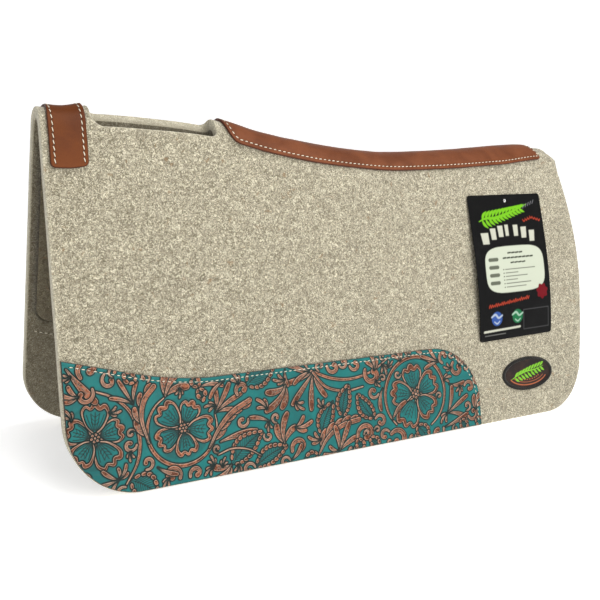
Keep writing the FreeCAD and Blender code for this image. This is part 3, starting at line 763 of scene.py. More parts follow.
saddle_leather = smooth_leather("saddle_leather", (0.185, 0.058, 0.022), (0.125, 0.036, 0.012),
                                (0.075, 0.024, 0.014), 0.40)
edge_points = spine_edge(0)
rear_run = run(edge_points[-2], edge_points[-1], step=2 * MM)[1:]
spine_outline = edge_points[:-1] + [tuple(p) for p in rear_run]
ridge_run = run((SPINE_REAR_RIDGE, 0), (SPINE_FRONT, 0), step=2.5 * MM)
on_ridge = np.array([1.0] * len(spine_outline) + [0.0] * len(ridge_run))
on_ridge[0] = 0.0
sewn = spine_edge(STITCH_INSET)
sewn = ([p for p in sewn[:-1] if p[1] > 4 * MM]
        + [tuple(p) for p in run(sewn[-2], sewn[-1])[1:] if p[1] > 3 * MM])
for half, side in HALVES.items():
    loop = from_ridge(spine_outline + [tuple(p) for p in ridge_run])
    path = from_ridge(sewn)
    piece = flap("spine_leather_" + half, loop, on_ridge, [path], side, saddle_leather)
    follow_flex(piece, half, "spine_leather", "spine_leather")
    thread, holes = stitch_row("spine_thread_" + half, [path], partial(over_skin, side=side),
                               LEATHER_TOP - 0.2 * MM)
    follow_flex(thread, half, "thread", "spine_leather_stitches")
    follow_flex(holes, half, "spine_leather")

# ------------------------------------------------------------------ bridge strap
# A short strap of the same leather over the front bridge, sewn down along its two long edges.
STRAP_FRONT, STRAP_REAR, STRAP_DROP, STRAP_CORNER = 7 * MM, 47 * MM, 76 * MM, 5 * MM
strap_leather = smooth_leather("strap_leather", (0.128, 0.034, 0.006), (0.086, 0.020, 0.003),
                               (0.06, 0.02, 0.011), 0.36)
strap_step, low_corner = 1.5 * MM, STRAP_DROP - STRAP_CORNER
quarter = [(STRAP_CORNER * (1 - math.cos(a)), STRAP_CORNER * (1 - math.sin(a)))
           for a in np.linspace(0, math.pi / 2, 7)[:-1]]
strap_points = run((STRAP_FRONT + 3 * MM, 0), (STRAP_FRONT, 24 * MM), (STRAP_FRONT, low_corner),
                   step=strap_step)
strap_points += [(STRAP_FRONT + a, STRAP_DROP - b) for a, b in quarter]
strap_points += run((STRAP_FRONT + STRAP_CORNER, STRAP_DROP), (STRAP_REAR - STRAP_CORNER, STRAP_DROP),
                    step=strap_step)
strap_points += [(STRAP_REAR - b, STRAP_DROP - a) for a, b in quarter]
strap_points += run((STRAP_REAR, low_corner), (STRAP_REAR, 0), (STRAP_FRONT + 3 * MM, 0), step=strap_step)
strap_points = np.array([tuple(p) for p in strap_points])
off_ridge = (strap_points[:, 1] > 0.5 * MM).astype(float)
for half, side in HALVES.items():
    rows = [from_ridge([(u, s) for s in np.linspace(0.5 * MM, STRAP_DROP - 3.5 * MM, 40)])
            for u in (STRAP_FRONT + STITCH_INSET, STRAP_REAR - STITCH_INSET)]
    piece = flap("strap_leather_" + half, from_ridge(strap_points), off_ridge, rows, side, strap_leather,
                 spacing=1.1 * MM)
    follow_flex(piece, half, "strap_leather", "bridge_strap")
    thread, holes = stitch_row("strap_thread_" + half, rows, partial(over_skin, side=side),
                               LEATHER_TOP - 0.15 * MM, long=5.5 * MM, thick=0.5 * MM, lean=-14 * side)
    follow_flex(thread, half, "thread", "bridge_strap_stitches")
    follow_flex(holes, half, "strap_leather")

# ------------------------------------------------------------------ seam stitches
# Stitches across the ridge that draw the two halves together, sunk in the seam. The leathers
# cover most of them.
def across_ridge(u, v, out):
    """Points on the ridge line at u, v across it to the near side."""
    flat = skin(u, 0, out, NEAR)
    flat[..., 1] += v
    return flat


for name, start, end in (("ridge_seam_stitches", slot_rear + 6 * MM, ridge_end - 6 * MM),
                         ("bridge_seam_stitches", 3 * MM, slot_front - 3 * MM)):
    spots = np.arange(start, end, 9 * MM)
    paths = [np.array([(u, -2.1 * MM), (u, 2.1 * MM)]) for u in spots]
    thread, holes = stitch_row(name.replace("stitches", "thread"), paths, across_ridge, -1.6 * MM)
    ride_on("spine", "thread", thread, name)
    ride_on("spine", "felt", holes)

# ------------------------------------------------------------------ tooled wear leathers
# Veg-tanned leather, carved and stamped with flowers, leaves and scrolls, painted teal and rubbed
# with copper on the high places. One is sewn flat to the lower part of each half, against wear.
# Lengths in this section and the next three are in millimetres.
WEAR_FRONT, WEAR_REAR, WEAR_TOP, WEAR_BASE, WEAR_THICK = 1.5, 565.0, 114.5, 1.5, 3.0
WEAR_FOOT_RADIUS, WEAR_CORNER, WEAR_BEND = 78.0, 80.0, 485
STITCH_IN = 4.8


class Board:
    """A flat sheet in millimetres on which relief and colour masks are drawn by strokes."""

    def __init__(self, wide, tall, cell, *masks):
        self.cell = cell
        self.x, self.y = np.arange(0, wide + cell, cell), np.arange(0, tall + cell, cell)
        self.layers = {name: np.zeros((len(self.y), len(self.x))) for name in ("relief", *masks)}

    def window(self, points, margin):
        """The part of the sheet around some points: row and column slices, and its coordinates."""
        low = np.floor((points.min(0) - margin) / self.cell).astype(int)
        high = np.ceil((points.max(0) + margin) / self.cell).astype(int) + 1
        low = np.maximum(low, 0)
        cut = (slice(low[1], max(high[1], 0)), slice(low[0], max(high[0], 0)))
        return cut, *np.meshgrid(self.x[cut[1]], self.y[cut[0]])

    def distance(self, line, margin=3.0):
        """Distance to a line of (x, y, half width), negative inside it."""
        line = np.asarray(line, float)
        cut, gx, gy = self.window(line[:, :2], margin + line[:, 2].max())
        best = np.full(gx.shape, 99.0)
        for (x0, y0, w0), (x1, y1, w1) in zip(line[:-1], line[1:]):
            dx, dy = x1 - x0, y1 - y0
            t = np.clip(((gx - x0) * dx + (gy - y0) * dy) / max(dx * dx + dy * dy, 1e-9), 0, 1)
            best = np.minimum(best, np.hypot(gx - x0 - t * dx, gy - y0 - t * dy) - w0 - (w1 - w0) * t)
        return cut, best

    def filled(self, outline, margin=2.0):
        """Distance to a closed outline of (x, y), negative inside it."""
        outline = np.asarray(outline, float)
        closed = np.column_stack([np.vstack([outline, outline[:1]]), np.zeros(len(outline) + 1)])
        cut, edge = self.distance(closed, margin)
        gx, gy = np.meshgrid(self.x[cut[1]], self.y[cut[0]])
        within = inside(np.column_stack([gx.ravel(), gy.ravel()]), outline).reshape(gx.shape)
        return cut, np.where(within, -edge, edge)

    def read(self, name, x, y):
        """A layer's value at any points, mixed from its cells."""
        layer = self.layers[name]
        fx, fy = (np.clip(at / self.cell, 0, len(line) - 1.001) for at, line in ((x, self.x), (y, self.y)))
        ix, iy = fx.astype(int), fy.astype(int)
        ax, ay = fx - ix, fy - iy
        return ((1 - ay) * ((1 - ax) * layer[iy, ix] + ax * layer[iy, ix + 1])
                + ay * ((1 - ax) * layer[iy + 1, ix] + ax * layer[iy + 1, ix + 1]))


carving = Board(570, 154, 0.5, "copper", "cut")


def flowing(points, step=1.0):
    """A smooth line through points of any number of columns."""
    points = np.asarray(points, float)
    padded = np.vstack([2 * points[0] - points[1], points, 2 * points[-1] - points[-2]])
    line = []
    for a, b, c, d in zip(padded[:-3], padded[1:-2], padded[2:-1], padded[3:]):
        count = max(int(np.hypot(*(c - b)[:2]) / step), 2)
        for t in np.arange(count) / count:
            line.append(0.5 * (2 * b + (c - a) * t + (2 * a - 5 * b + 4 * c - d) * t**2
                               + (3 * b - a - 3 * c + d) * t**3))
    return np.array(line + [points[-1]])


def lay(cut, d, high, copper, round_over=1.3):
    """Raise the ground inside d < 0, colour it, and leave a knife cut around it."""
    relief, paint, knife = (carving.layers[k][cut] for k in ("relief", "copper", "cut"))
    body = np.clip(-d / round_over, 0, 1)
    rise = high * np.sqrt(np.clip(1 - (1 - body) ** 2, 0, 1))
    valley = -0.7 * np.exp(-((d - 0.5) / 0.6) ** 2)
    here = np.clip((1.1 - d) / 0.5, 0, 1)
    relief += (np.where(d < 0, rise, valley) - relief) * here
    paint += (copper * np.clip((-d + 0.05) / 1.0, 0, 1) - paint) * here
    edge = np.exp(-((d - 0.4) / 0.6) ** 2) + 0.42 * np.exp(-np.clip(d - 0.4, 0, 9) / 1.8) * (d > 0.4)
    edge = np.clip(edge, 0, 1)
    knife += (np.maximum(knife * (d > 0), edge) - knife) * np.clip((3.0 - d) / 1.0, 0, 1)


drawn = []


def raised(points, high=1.1):
    """A rounded copper line through (x, y, half width)."""
    line = flowing(points)
    drawn.append(line[::2])
    lay(*carving.distance(line), high, 1.0)


def matted(x, y, radius):
    """Ground darkened with a matting stamp, round a place."""
    cut, d = carving.distance([(x - 0.1, y, radius), (x + 0.1, y, radius)])
    knife = carving.layers["cut"][cut]
    knife += (np.maximum(knife, 0.32) - knife) * np.clip(-d / 2.0, 0, 1)


def scored(points, deep=0.3, wide=0.42):
    """A fine knife line through (x, y)."""
    points = np.asarray(points, float)
    line = flowing(np.column_stack([points, np.zeros(len(points))]), 1.2)
    drawn.append(line[::2])
    cut, d = carving.distance(line, 1.5)
    mark = np.exp(-(d / wide) ** 2)
    carving.layers["relief"][cut] -= deep * mark
    carving.layers["cut"][cut] = np.maximum(carving.layers["cut"][cut], 0.85 * mark)
    carving.layers["copper"][cut] *= 1 - 0.7 * mark


def polar(x, y, radius, degrees):
    a = math.radians(degrees)
    return x + radius * math.cos(a), y + radius * math.sin(a)


def frond(x, y, heading, length, turn, wide):
    """A teardrop that starts thin, bends by turn degrees and ends in a full rounded tip."""
    points, px, py = [], x, y
    count = 7
    for i in range(count + 1):
        f = i / count
        full = 0.22 + 0.78 * math.sin(math.pi * min(f * 0.62 + 0.02, 0.5)) ** 1.6
        points.append((px, py, 1.25 * wide * full * (1 if f < 0.93 else 0.8)))
        px, py = polar(px, py, length / count, heading + turn * f)
    raised(points)
    scored([p[:2] for p in points[:-2]], 0.4, 0.5)
    if wide > 2.4:
        for i in range(2, count - 1):
            px, py, w = points[i]
            for hand in (-1, 1):
                rib = polar(px, py, 0.75 * w, heading + turn * i / count + 48 * hand)
                scored([(px, py), rib], 0.3, 0.36)


def curl(x, y, radius, start, sweep, wide):
    """A scroll that winds inward from start by sweep degrees about x, y, and ends in a bulb."""
    points = []
    count = max(int(abs(sweep) / 25), 4)
    for i in range(count + 1):
        f = i / count
        r = radius * (1 - 0.72 * f)
        fat = 1.2 * wide * (0.35 + 0.65 * math.sin(math.pi * min(0.15 + f * 0.6, 0.5)))
        points.append((*polar(x, y, r, start + sweep * f), fat if f < 0.99 else wide * 1.45))
    raised(points)
    scored([p[:2] for p in points[:-2]], 0.35, 0.42)


def leaf(x0, y0, x1, y1, wide):
    """A pointed leaf with a midrib, herringbone veins and a beaded edge."""
    base, tip = np.array((x0, y0)), np.array((x1, y1))
    axis = (tip - base) / np.linalg.norm(tip - base)
    side = np.array((-axis[1], axis[0]))
    length = np.linalg.norm(tip - base)

    def at(f, lateral):
        aside = wide * lateral * math.sin(math.pi * f**0.85) + 0.06 * length * math.sin(math.pi * f)
        return base + axis * length * f + side * aside
    steps = np.linspace(0, 1, 15)
    outline = [at(f, 1) for f in steps] + [at(f, -1) for f in steps[-2:0:-1]]
    lay(*carving.filled(outline), 0.35, 0.0, 3.0)
    scored([at(f, 0) for f in np.linspace(0.02, 0.95, 7)], 0.55, 0.6)
    for f in np.arange(0.12, 0.86, 2.9 / length):
        for hand in (-1, 1):
            scored([at(f, 0), at(min(f + 0.35 * wide / length, 0.97), 0.42 * hand),
                    at(min(f + 0.62 * wide / length, 0.98), 0.78 * hand)], 0.42, 0.5)
    for hand in (-1, 1):
        for f in np.arange(0.08, 0.93, 5.6 / length):
            p = at(f, hand * 1.04)
            q = at(f + 2.2 / length, hand * 1.10)
            size = 1.35 + 0.75 * math.sin(math.pi * f)
            raised([(*p, size), (*((p + q) / 2), 1.15 * size), (*q, size)], 1.1)


def flower(x, y, size, spin):
    """An open five-petalled flower with scalloped, rolled petal edges and a beaded eye."""
    matted(x, y, 1.16 * size)
    shape = [(0.16, 0.05), (0.34, 0.24), (0.60, 0.37), (0.82, 0.41), (0.97, 0.30), (0.90, 0.15),
             (1.04, 0.02), (0.91, -0.13), (0.98, -0.29), (0.80, -0.40), (0.58, -0.36), (0.33, -0.23),
             (0.16, -0.05)]
    for k in (0, 2, 4, 1, 3):
        a = math.radians(spin + 72 * k)
        stretch = 1 + 0.10 * math.sin(2.1 * k + spin)

        def at(f, g):
            return np.array((x + size * stretch * (f * math.cos(a) - g * math.sin(a)),
                             y + size * stretch * (f * math.sin(a) + g * math.cos(a))))
        outline = flowing([at(*p) for p in shape], 1.5)
        lay(*carving.filled(outline), 0.25, 0.0, 3.0)
        for g in (-0.24, -0.12, 0.0, 0.12, 0.24):
            scored([at(0.24, g * 0.25), at(0.5, g * 0.8), at(0.80 - 0.35 * abs(g), g * 1.15)], 0.45, 0.55)
        for f in (0.5, 0.62, 0.74):
            for g in (0.13, -0.13):
                scored([at(f - 0.1, 0.0), at(f, g)], 0.3, 0.42)
        rim = [(*at(*p), (0.75 + 1.55 * p[0] ** 3) * (1 + 0.3 * math.cos(7.0 * p[1] + k)) * size / 34)
               for p in shape]
        raised(rim)
    lay(*carving.filled([polar(x, y, 0.17 * size, t) for t in range(0, 360, 30)]), 0.7, 0.5, 2.0)
    for t in range(0, 360, 60):
        px, py = polar(x, y, 0.12 * size, t + spin)
        bead = 0.042 * size
        raised([(px, py, bead), (px + 0.3, py + 0.3, bead), (px + 0.6, py, bead)], 0.9)


def fan(x, y, heading, spread, lengths, wide, turn=25):
    """Fronds that spring from one place, the middle ones last and on top."""
    count = len(lengths)
    order = sorted(range(count), key=lambda i: -abs(i - (count - 1) / 2))
    for i in order:
        share = (i / (count - 1) - 0.5) if count > 1 else 0
        frond(x, y, heading + spread * share, lengths[i], turn * 2 * share, wide)


def acanthus(points, lobes, wide, hand):
    """A long curled leaf: a spine line of (x, y) with curved lobes springing from one side."""
    line = flowing([(*p, 0.0) for p in points], 1.0)
    picks = np.linspace(0.12, 0.80, lobes) * (len(line) - 2)
    for i in picks.astype(int):
        heading = math.degrees(math.atan2(*(line[i + 1] - line[i])[1::-1]))
        share = i / len(line)
        frond(line[i][0], line[i][1], heading + hand * 38, wide * (5.2 - 2.4 * share), hand * -55,
              wide * (0.62 - 0.2 * share))
    widths = wide * (0.18 + 0.5 * np.sin(np.linspace(0.1, math.pi * 0.55, len(points))))
    raised([(*p, w) for p, w in zip(points, widths)])
    scored(points, 0.4, 0.5)


def fill_gaps(smallest, most, plain):
    """Grow fronds, scrolls and leaves from the nearest line into every open gap but the plain ones."""
    gx, gy = np.meshgrid(np.arange(3.0, 565, 2.0), np.arange(3.0, 148, 2.0))
    spots = np.column_stack([gx.ravel(), gy.ravel()])
    mirrored = WEAR_REAR + WEAR_FRONT - spots[:, 0]
    high = np.maximum(wear_top(spots[:, 0]), wear_top(mirrored)) - 1.5
    low = np.minimum(wear_foot(spots[:, 0]), wear_foot(mirrored)) + 1
    spots = spots[(spots[:, 1] < high) & (spots[:, 1] > low)]
    free, nearest = np.full(len(spots), 99.0), np.zeros((len(spots), 2))

    def block(marks):
        for part in np.array_split(marks, max(len(marks) // 400, 1)):
            d = np.hypot(*(spots[:, None] - part[None, :, :2]).transpose(2, 0, 1)) - part[:, 2]
            k = d.argmin(1)
            least = d[np.arange(len(spots)), k]
            nearer = least < free
            free[nearer], nearest[nearer] = least[nearer], part[k[nearer], :2]
    block(np.vstack(drawn))
    for x, y, radius in plain:
        free[np.hypot(spots[:, 0] - x, spots[:, 1] - y) < radius] = 0
    for _ in range(most):
        pick = int(free.argmax())
        room = free[pick]
        if room < smallest:
            break
        spot, root = spots[pick], nearest[pick]
        start = root + 0.1 * (spot - root)
        heading = math.degrees(math.atan2(*(spot - root)[::-1]))
        hand = 1 if rng.random() < 0.5 else -1
        before, kind = len(drawn), rng.random()
        if room > 8.5 and kind < 0.35:
            tip = spot + 0.6 * (spot - root)
            leaf(*start, *tip, 0.5 * room)
        elif room > 6 and kind < 0.6:
            curl(*spot, 0.8 * room, heading + 180, hand * 285, 0.17 * room)
        elif room > 6:
            for spread, share in ((-34, 1.15), (30, 1.2), (-2, 1.75)):
                frond(*start, heading + spread - 22 * hand, share * room, 50 * hand, 0.145 * room)
        else:
            frond(*start, heading - 34 * hand, 1.9 * room, 66 * hand, 0.19 * room)
        block(np.vstack(drawn[before:]))


def wear_top(u):
    """Height of the top edge: a line, a hollow curve, a level run and the round rear corner."""
    line = 150 - (u - 1.5) * 19.5 / 68.5
    f = np.clip((u - 70) / 95, 0, 1)
    hollow = 130.5 - 27.1 * f + 11.1 * f * f
    level = 114.5 - 0.5 * np.clip((u - 165) / 320, 0, 1)
    x = np.clip(u - WEAR_BEND, 0, WEAR_CORNER)
    corner = 34 + np.sqrt(WEAR_CORNER**2 - x**2)
    return np.where(u < 70, line, np.where(u < 165, hollow, np.where(u < WEAR_BEND, level, corner)))


def wear_foot(u):
    x = np.clip(WEAR_FRONT + WEAR_FOOT_RADIUS - u, 0, WEAR_FOOT_RADIUS)
    return WEAR_BASE + WEAR_FOOT_RADIUS - np.sqrt(WEAR_FOOT_RADIUS**2 - x**2)


# The ring stems, flowers, leaves and scrolls, laid out from the front corner to the rear one.
flower(30, 66, 31, 12)
raised([(60, 12, 0.8), (74, 34, 1.3), (78, 60, 1.8), (70, 88, 1.6), (52, 106, 1.2), (30, 116, 0.8)])
frond(6, 141, -58, 46, 10, 3.4)
curl(22, 112, 11, 30, -230, 1.9)
curl(50, 124, 9, 120, 250, 1.7)
fan(74, 96, 118, 60, (24, 30, 26), 1.7)
curl(16, 26, 12, 160, 250, 2.0)
fan(52, 18, 190, 70, (20, 25, 20), 1.8)
raised([(*polar(128, 62, 41, a), 0.7 + 1.3 * math.sin(math.radians((a - 118) * 0.72)))
        for a in range(118, 375, 16)])
flower(128, 62, 31, 62)
acanthus([(88, 52), (82, 78), (86, 98), (98, 112)], 4, 4.4, 1)
curl(112, 13, 10, -30, 285, 2.4)
curl(140, 10, 8, 200, -260, 2.0)
frond(96, 24, -40, 24, 30, 2.0)
fan(168, 74, 42, 58, (30, 38, 36, 28), 2.2, 38)
acanthus([(158, 36), (172, 56), (190, 72), (212, 82)], 5, 4.6, -1)
frond(150, 104, 20, 30, -50, 1.9)
frond(182, 108, -160, 26, 50, 1.7)
curl(204, 96, 9, 220, -250, 2.2)
frond(172, 40, 14, 46, -18, 3.4)
leaf(184, 12, 226, 44, 11.5)
leaf(214, 4, 258, 22, 9.0)
raised([(168, 26, 0.8), (186, 30, 1.0), (206, 26, 0.8), (222, 16, 0.5)])
frond(236, 54, 150, 26, 30, 1.9)
curl(274, 18, 11, 200, -260, 2.6)
frond(262, 4, 30, 22, 40, 2.0)
fan(300, 104, -132, 120, (28, 40, 46, 44, 34), 2.6, 22)
fan(296, 106, 160, 70, (30, 36, 26), 2.1, 30)
frond(262, 112, -100, 20, 40, 1.6)
raised([(298, 106, 1.6), (326, 94, 1.7), (356, 90, 1.5), (388, 96, 1.2), (414, 110, 0.8)])
raised([(300, 104, 1.4), (318, 84, 1.5), (346, 76, 1.3), (372, 78, 0.8)])
curl(330, 108, 9, 170, 250, 2.1)
curl(362, 107, 8, 190, 240, 1.9)
leaf(306, 26, 326, 66, 9.5)
leaf(338, 44, 350, 84, 8.5)
leaf(386, 36, 362, 70, 8.5)
acanthus([(300, 4), (314, 22), (336, 34), (362, 38)], 5, 4.6, 1)
fan(330, 4, 62, 54, (30, 36, 30), 2.6, 20)
curl(372, 18, 14, 190, -285, 2.7)
curl(373, 19, 5, 190, -200, 1.3)
curl(400, 12, 8, 30, 240, 1.8)
curl(388, 92, 13, 150, 270, 2.8)
frond(402, 72, -120, 28, 45, 2.1)
raised([(*polar(454, 58, 49, a), 0.8 + 1.4 * math.sin(math.radians((a + 62) * 0.60)))
        for a in range(-62, 238, 16)])
flower(454, 58, 38, 98)
frond(414, 30, 60, 30, -40, 2.4)
fan(496, 96, 160, 50, (24, 30, 24), 1.8)
curl(506, 102, 9, 250, -230, 2.0)
curl(528, 84, 11, 130, 265, 2.3)
frond(512, 64, -20, 26, 45, 2.2)
curl(547, 56, 9, 160, -250, 2.0)
fan(506, 26, 28, 66, (34, 40, 36), 2.3, 30)
frond(500, 8, 12, 42, 14, 2.3)
curl(551, 20, 10, 200, 250, 2.2)
frond(552, 96, -95, 24, 30, 1.6)


fill_gaps(4.6, 90, ((268, 56, 15), (222, 66, 10), (8, 104, 9), (540, 74, 9), (60, 110, 6), (420, 96, 7)))

cell = 0.75
a = np.linspace(math.pi / 2, 0, int(WEAR_FOOT_RADIUS * math.pi / 2 / cell), endpoint=False)
columns = [WEAR_FRONT + WEAR_FOOT_RADIUS * (1 - np.sin(a)),
           np.arange(WEAR_FRONT + WEAR_FOOT_RADIUS, WEAR_BEND, cell)]
a = np.linspace(0, math.pi / 2, int(WEAR_CORNER * math.pi / 2 / cell))
columns = np.concatenate(columns + [WEAR_BEND + WEAR_CORNER * np.sin(a)])
rows = np.linspace(0, 1, 170)
low, high = wear_foot(columns), wear_top(columns)
wear_u = np.broadcast_to(columns, (len(rows), len(columns)))
wear_v = low + rows[:, None] * (high - low)
sewn_edge = np.concatenate([np.column_stack([columns, high])[::2],
                            [(WEAR_REAR, v) for v in np.arange(2, 34)]])
all_edge = np.concatenate([sewn_edge, np.column_stack([columns, low])[::2],
                           [(WEAR_FRONT, v) for v in np.arange(80, 150, 1.0)]])
flat = np.column_stack([wear_u.ravel(), wear_v.ravel()])
near_border = ((wear_v - low < 3) | (high - wear_v < 9) | (wear_u < 5) | (wear_u > WEAR_REAR - 9)
               | (wear_u > WEAR_BEND) & (rows[:, None] > 0.6)).ravel()
to_edge, to_sewn = np.full(len(flat), 9.0), np.full(len(flat), 9.0)
to_edge[near_border] = distance_to(flat[near_border], all_edge)
to_sewn[near_border] = distance_to(flat[near_border], sewn_edge)
stitch_line = np.exp(-((to_sewn - STITCH_IN) / 1.1) ** 2)


def painted_leather(name, teal, teal_deep, copper, copper_deep, cut_colour, edge_colour):
    material, tree, shader = blank_material(name, Specular_IOR_Level=0.25)
    grain = place_group(tree, leather_grain, 1.15)
    painted, cut = stored(tree, "copper"), stored(tree, "cut")
    ground = tint(tree, grain["Stain"], teal, teal_deep)
    ground = tint(tree, times(tree, grain["Scuff"], 0.06), ground, copper)
    rubbed = between(tree, noise(tree, 210.0, 5.0, Roughness=0.72), 0.44, 0.56)
    metal = tint(tree, rubbed, copper, copper_deep)
    metal = tint(tree, between(tree, noise(tree, 11.0, 2.0), 0.42, 0.6, 0.0, 0.6), metal, copper_deep)
    # Painted highlight: the copper is mixed to a pale pink near the edges of each raised shape, where the
    # bevels catch the light.
    rim_highlight_offset = sums(tree, "ABSOLUTE", sums(tree, "SUBTRACT", painted, 0.48))
    metal = tint(tree, between(tree, rim_highlight_offset, 0.1, 0.42, 0.6, 0.0), metal, (0.66, 0.42, 0.30))
    colour = tint(tree, between(tree, painted, 0.1, 0.4), ground, metal)
    colour = tint(tree, between(tree, cut, 0.08, 0.8, 0.0, 0.95), colour, cut_colour)
    colour = tint(tree, between(tree, stored(tree, "edge"), 0.4, 0.9), colour, edge_colour)
    rough = sums(tree, "ADD", times(tree, cut, 0.3), 0.36)
    feed(tree, shader, Base_Color=colour, Metallic=times(tree, painted, 0.25),
         Roughness=sums(tree, "ADD", rough, times(tree, grain["Scuff"], 0.15)))
    bump(tree, shader, grain["Height"], 0.3, 0.12)
    return material


tooled_paint = painted_leather("tooled_paint", (0.003, 0.140, 0.132), (0.003, 0.100, 0.098),
                               (0.30, 0.105, 0.052), (0.075, 0.022, 0.010), (0.010, 0.013, 0.011),
                               (0.035, 0.012, 0.008))
wear_row = [(u, wear_top(u) - STITCH_IN) for u in np.arange(WEAR_FRONT + 7, WEAR_BEND, 3.0)]
r = WEAR_CORNER - STITCH_IN
wear_row += [(WEAR_BEND + r * math.sin(t), 34 + r * math.cos(t)) for t in np.linspace(0, math.pi / 2, 24)]
wear_row = np.array(wear_row + [(WEAR_REAR - STITCH_IN, v) for v in (26.0, 16.0, 7.0)]) * MM


def grid_rim(rows, columns):
    """The points round the edge of a grid stored row by row."""
    return np.concatenate([np.arange(columns), np.arange(1, rows) * columns + columns - 1,
                           (rows - 1) * columns + np.arange(columns - 2, -1, -1),
                           np.arange(rows - 2, 0, -1) * columns])


border = grid_rim(len(rows), len(columns))
for half, side in HALVES.items():
    pick = flat[:, 0] if side == NEAR else WEAR_REAR + WEAR_FRONT - flat[:, 0]
    relief = carving.read("relief", pick, flat[:, 1])
    calm = np.clip(to_edge / 1.5, 0, 1) * (1 - 0.8 * stitch_line)
    rolled = np.sqrt(np.clip(1 - (1 - np.clip(to_edge, 0, 1)) ** 2, 0, 1)) - 1
    out = WEAR_THICK - 0.5 + relief * calm + 0.9 * rolled - 0.45 * stitch_line
    out += 0.12 * ripple(flat[:, 0], flat[:, 1], 24.0, 41)
    face = on_leg(flat[:, 0] * MM, flat[:, 1] * MM, out * MM, side)
    foot = on_leg(flat[border, 0] * MM, flat[border, 1] * MM, 0.0, side)
    quads = grid_faces(len(rows), len(columns)).tolist()
    count, n = len(flat), len(border)
    quads += [[int(border[(i + 1) % n]), int(border[i]), count + i, count + (i + 1) % n] for i in range(n)]
    quads.append([count + i for i in range(n)][::-1])
    piece = sided("tooled_leather_" + half, np.vstack([face, foot]), quads, tooled_paint, side)
    store(piece, "copper", np.concatenate([carving.read("copper", pick, flat[:, 1]), np.zeros(n)]))
    store(piece, "cut", np.concatenate([carving.read("cut", pick, flat[:, 1]) * calm, np.zeros(n)]))
    store(piece, "edge", np.concatenate([1 - np.clip(to_edge / 2.0, 0, 1), np.ones(n)]))
    ride_on(half + "_side", "tooled_leather", piece, "wear_leather_" + half)

    # Its row of stitches, and the same row as it shows on the inner face, pulled into the wool.
    place = partial(on_leg, side=side)
    thread, holes = stitch_row("wear_thread_" + half, [wear_row], place, (WEAR_THICK - 0.75) * MM,
                               long=4.2 * MM, thick=0.42 * MM, lean=5)
    ride_on(half + "_side", "thread", thread, "wear_stitches_" + half)
    ride_on(half + "_side", "tooled_leather", holes)
    thread, holes = stitch_row("under_thread_" + half, [wear_row], place, -THICK, facing=-1)
    ride_on(half + "_side", "thread", thread, "underside_stitches_" + half)
    ride_on(half + "_side", "felt", holes)

# ------------------------------------------------------------------ maker's patch
# A small oval of dark leather with a stamped sprig over plain copper arcs, sewn to the rear of
# the near half by a thick overcast border of black thread.
PATCH_U, PATCH_V, PATCH_LONG, PATCH_SHORT = 661.0, 61.7, 48.5, 23.5
BORDER_WIDE, PATCH_THICK = 3.8, 2.0
patch_board = Board(100, 50, 0.4, "green", "copper")


def mark(board, layer, points, rise=0.25, soft=0.35):
    """A flat printed or stamped mark along (x, y, half width), measured from the sheet's middle."""
    points = np.asarray(points, float)
    points = points + np.array([board.x[-1] / 2, board.y[-1] / 2] + [0] * (points.shape[1] - 2))
    cut, d = board.distance(flowing(points, 0.7), 1.5)
    ink = np.clip(-d / soft, 0, 1)
    board.layers[layer][cut] = np.maximum(board.layers[layer][cut], ink)
    board.layers["relief"][cut] = np.maximum(board.layers["relief"][cut], ink * rise)


mark(patch_board, "green", [(-33, -6, 0.5), (-20, -1, 1.0), (-4, 3, 1.2), (14, 4, 1.0), (31, 8, 0.4)])
for k, x in enumerate(np.linspace(-27, 24, 9)):
    y = -3.5 + 0.22 * (x + 27)
    for hand in (-1, 1):
        reach = 11.0 - 0.5 * abs(k - 4)
        mark(patch_board, "green", [(x, y, 0.3), (x + 4.5, y + hand * reach * 0.45, 1.9),
                                    (x + 9, y + hand * reach * 0.78, 0.25)])
for wide, tall, thick in ((38, 17.5, 0.9), (32, 13.5, 0.55)):
    mark(patch_board, "copper", [(wide * math.cos(t), 1 + tall * math.sin(t), thick)
                                 for t in np.radians(np.linspace(205, 335, 14))], 0.15)
for degrees in np.linspace(216, 324, 10):
    t = math.radians(degrees)
    x, y = 24.5 * math.cos(t), 1 + 10 * math.sin(t)
    mark(patch_board, "copper", [(x - 0.4, y, 0.95), (x + 0.4, y, 0.95)], 0.15)


def stamped_leather():
    material, tree, shader = blank_material("stamped_leather", Specular_IOR_Level=0.2, Roughness=0.5)
    grain = place_group(tree, leather_grain, 1.4)
    colour = tint(tree, grain["Stain"], (0.030, 0.013, 0.008), (0.008, 0.005, 0.004))
    colour = tint(tree, times(tree, grain["Scuff"], 0.3), colour, (0.09, 0.04, 0.022))
    worn = sums(tree, "SUBTRACT", 1.0, times(tree, grain["Scuff"], 0.45))
    for mask, paint in (("copper", (0.36, 0.095, 0.035)), ("green", (0.16, 0.42, 0.02))):
        colour = tint(tree, times(tree, stored(tree, mask), worn), colour, paint)
    feed(tree, shader, Base_Color=colour)
    bump(tree, shader, grain["Height"], 0.4, 0.1)
    return material


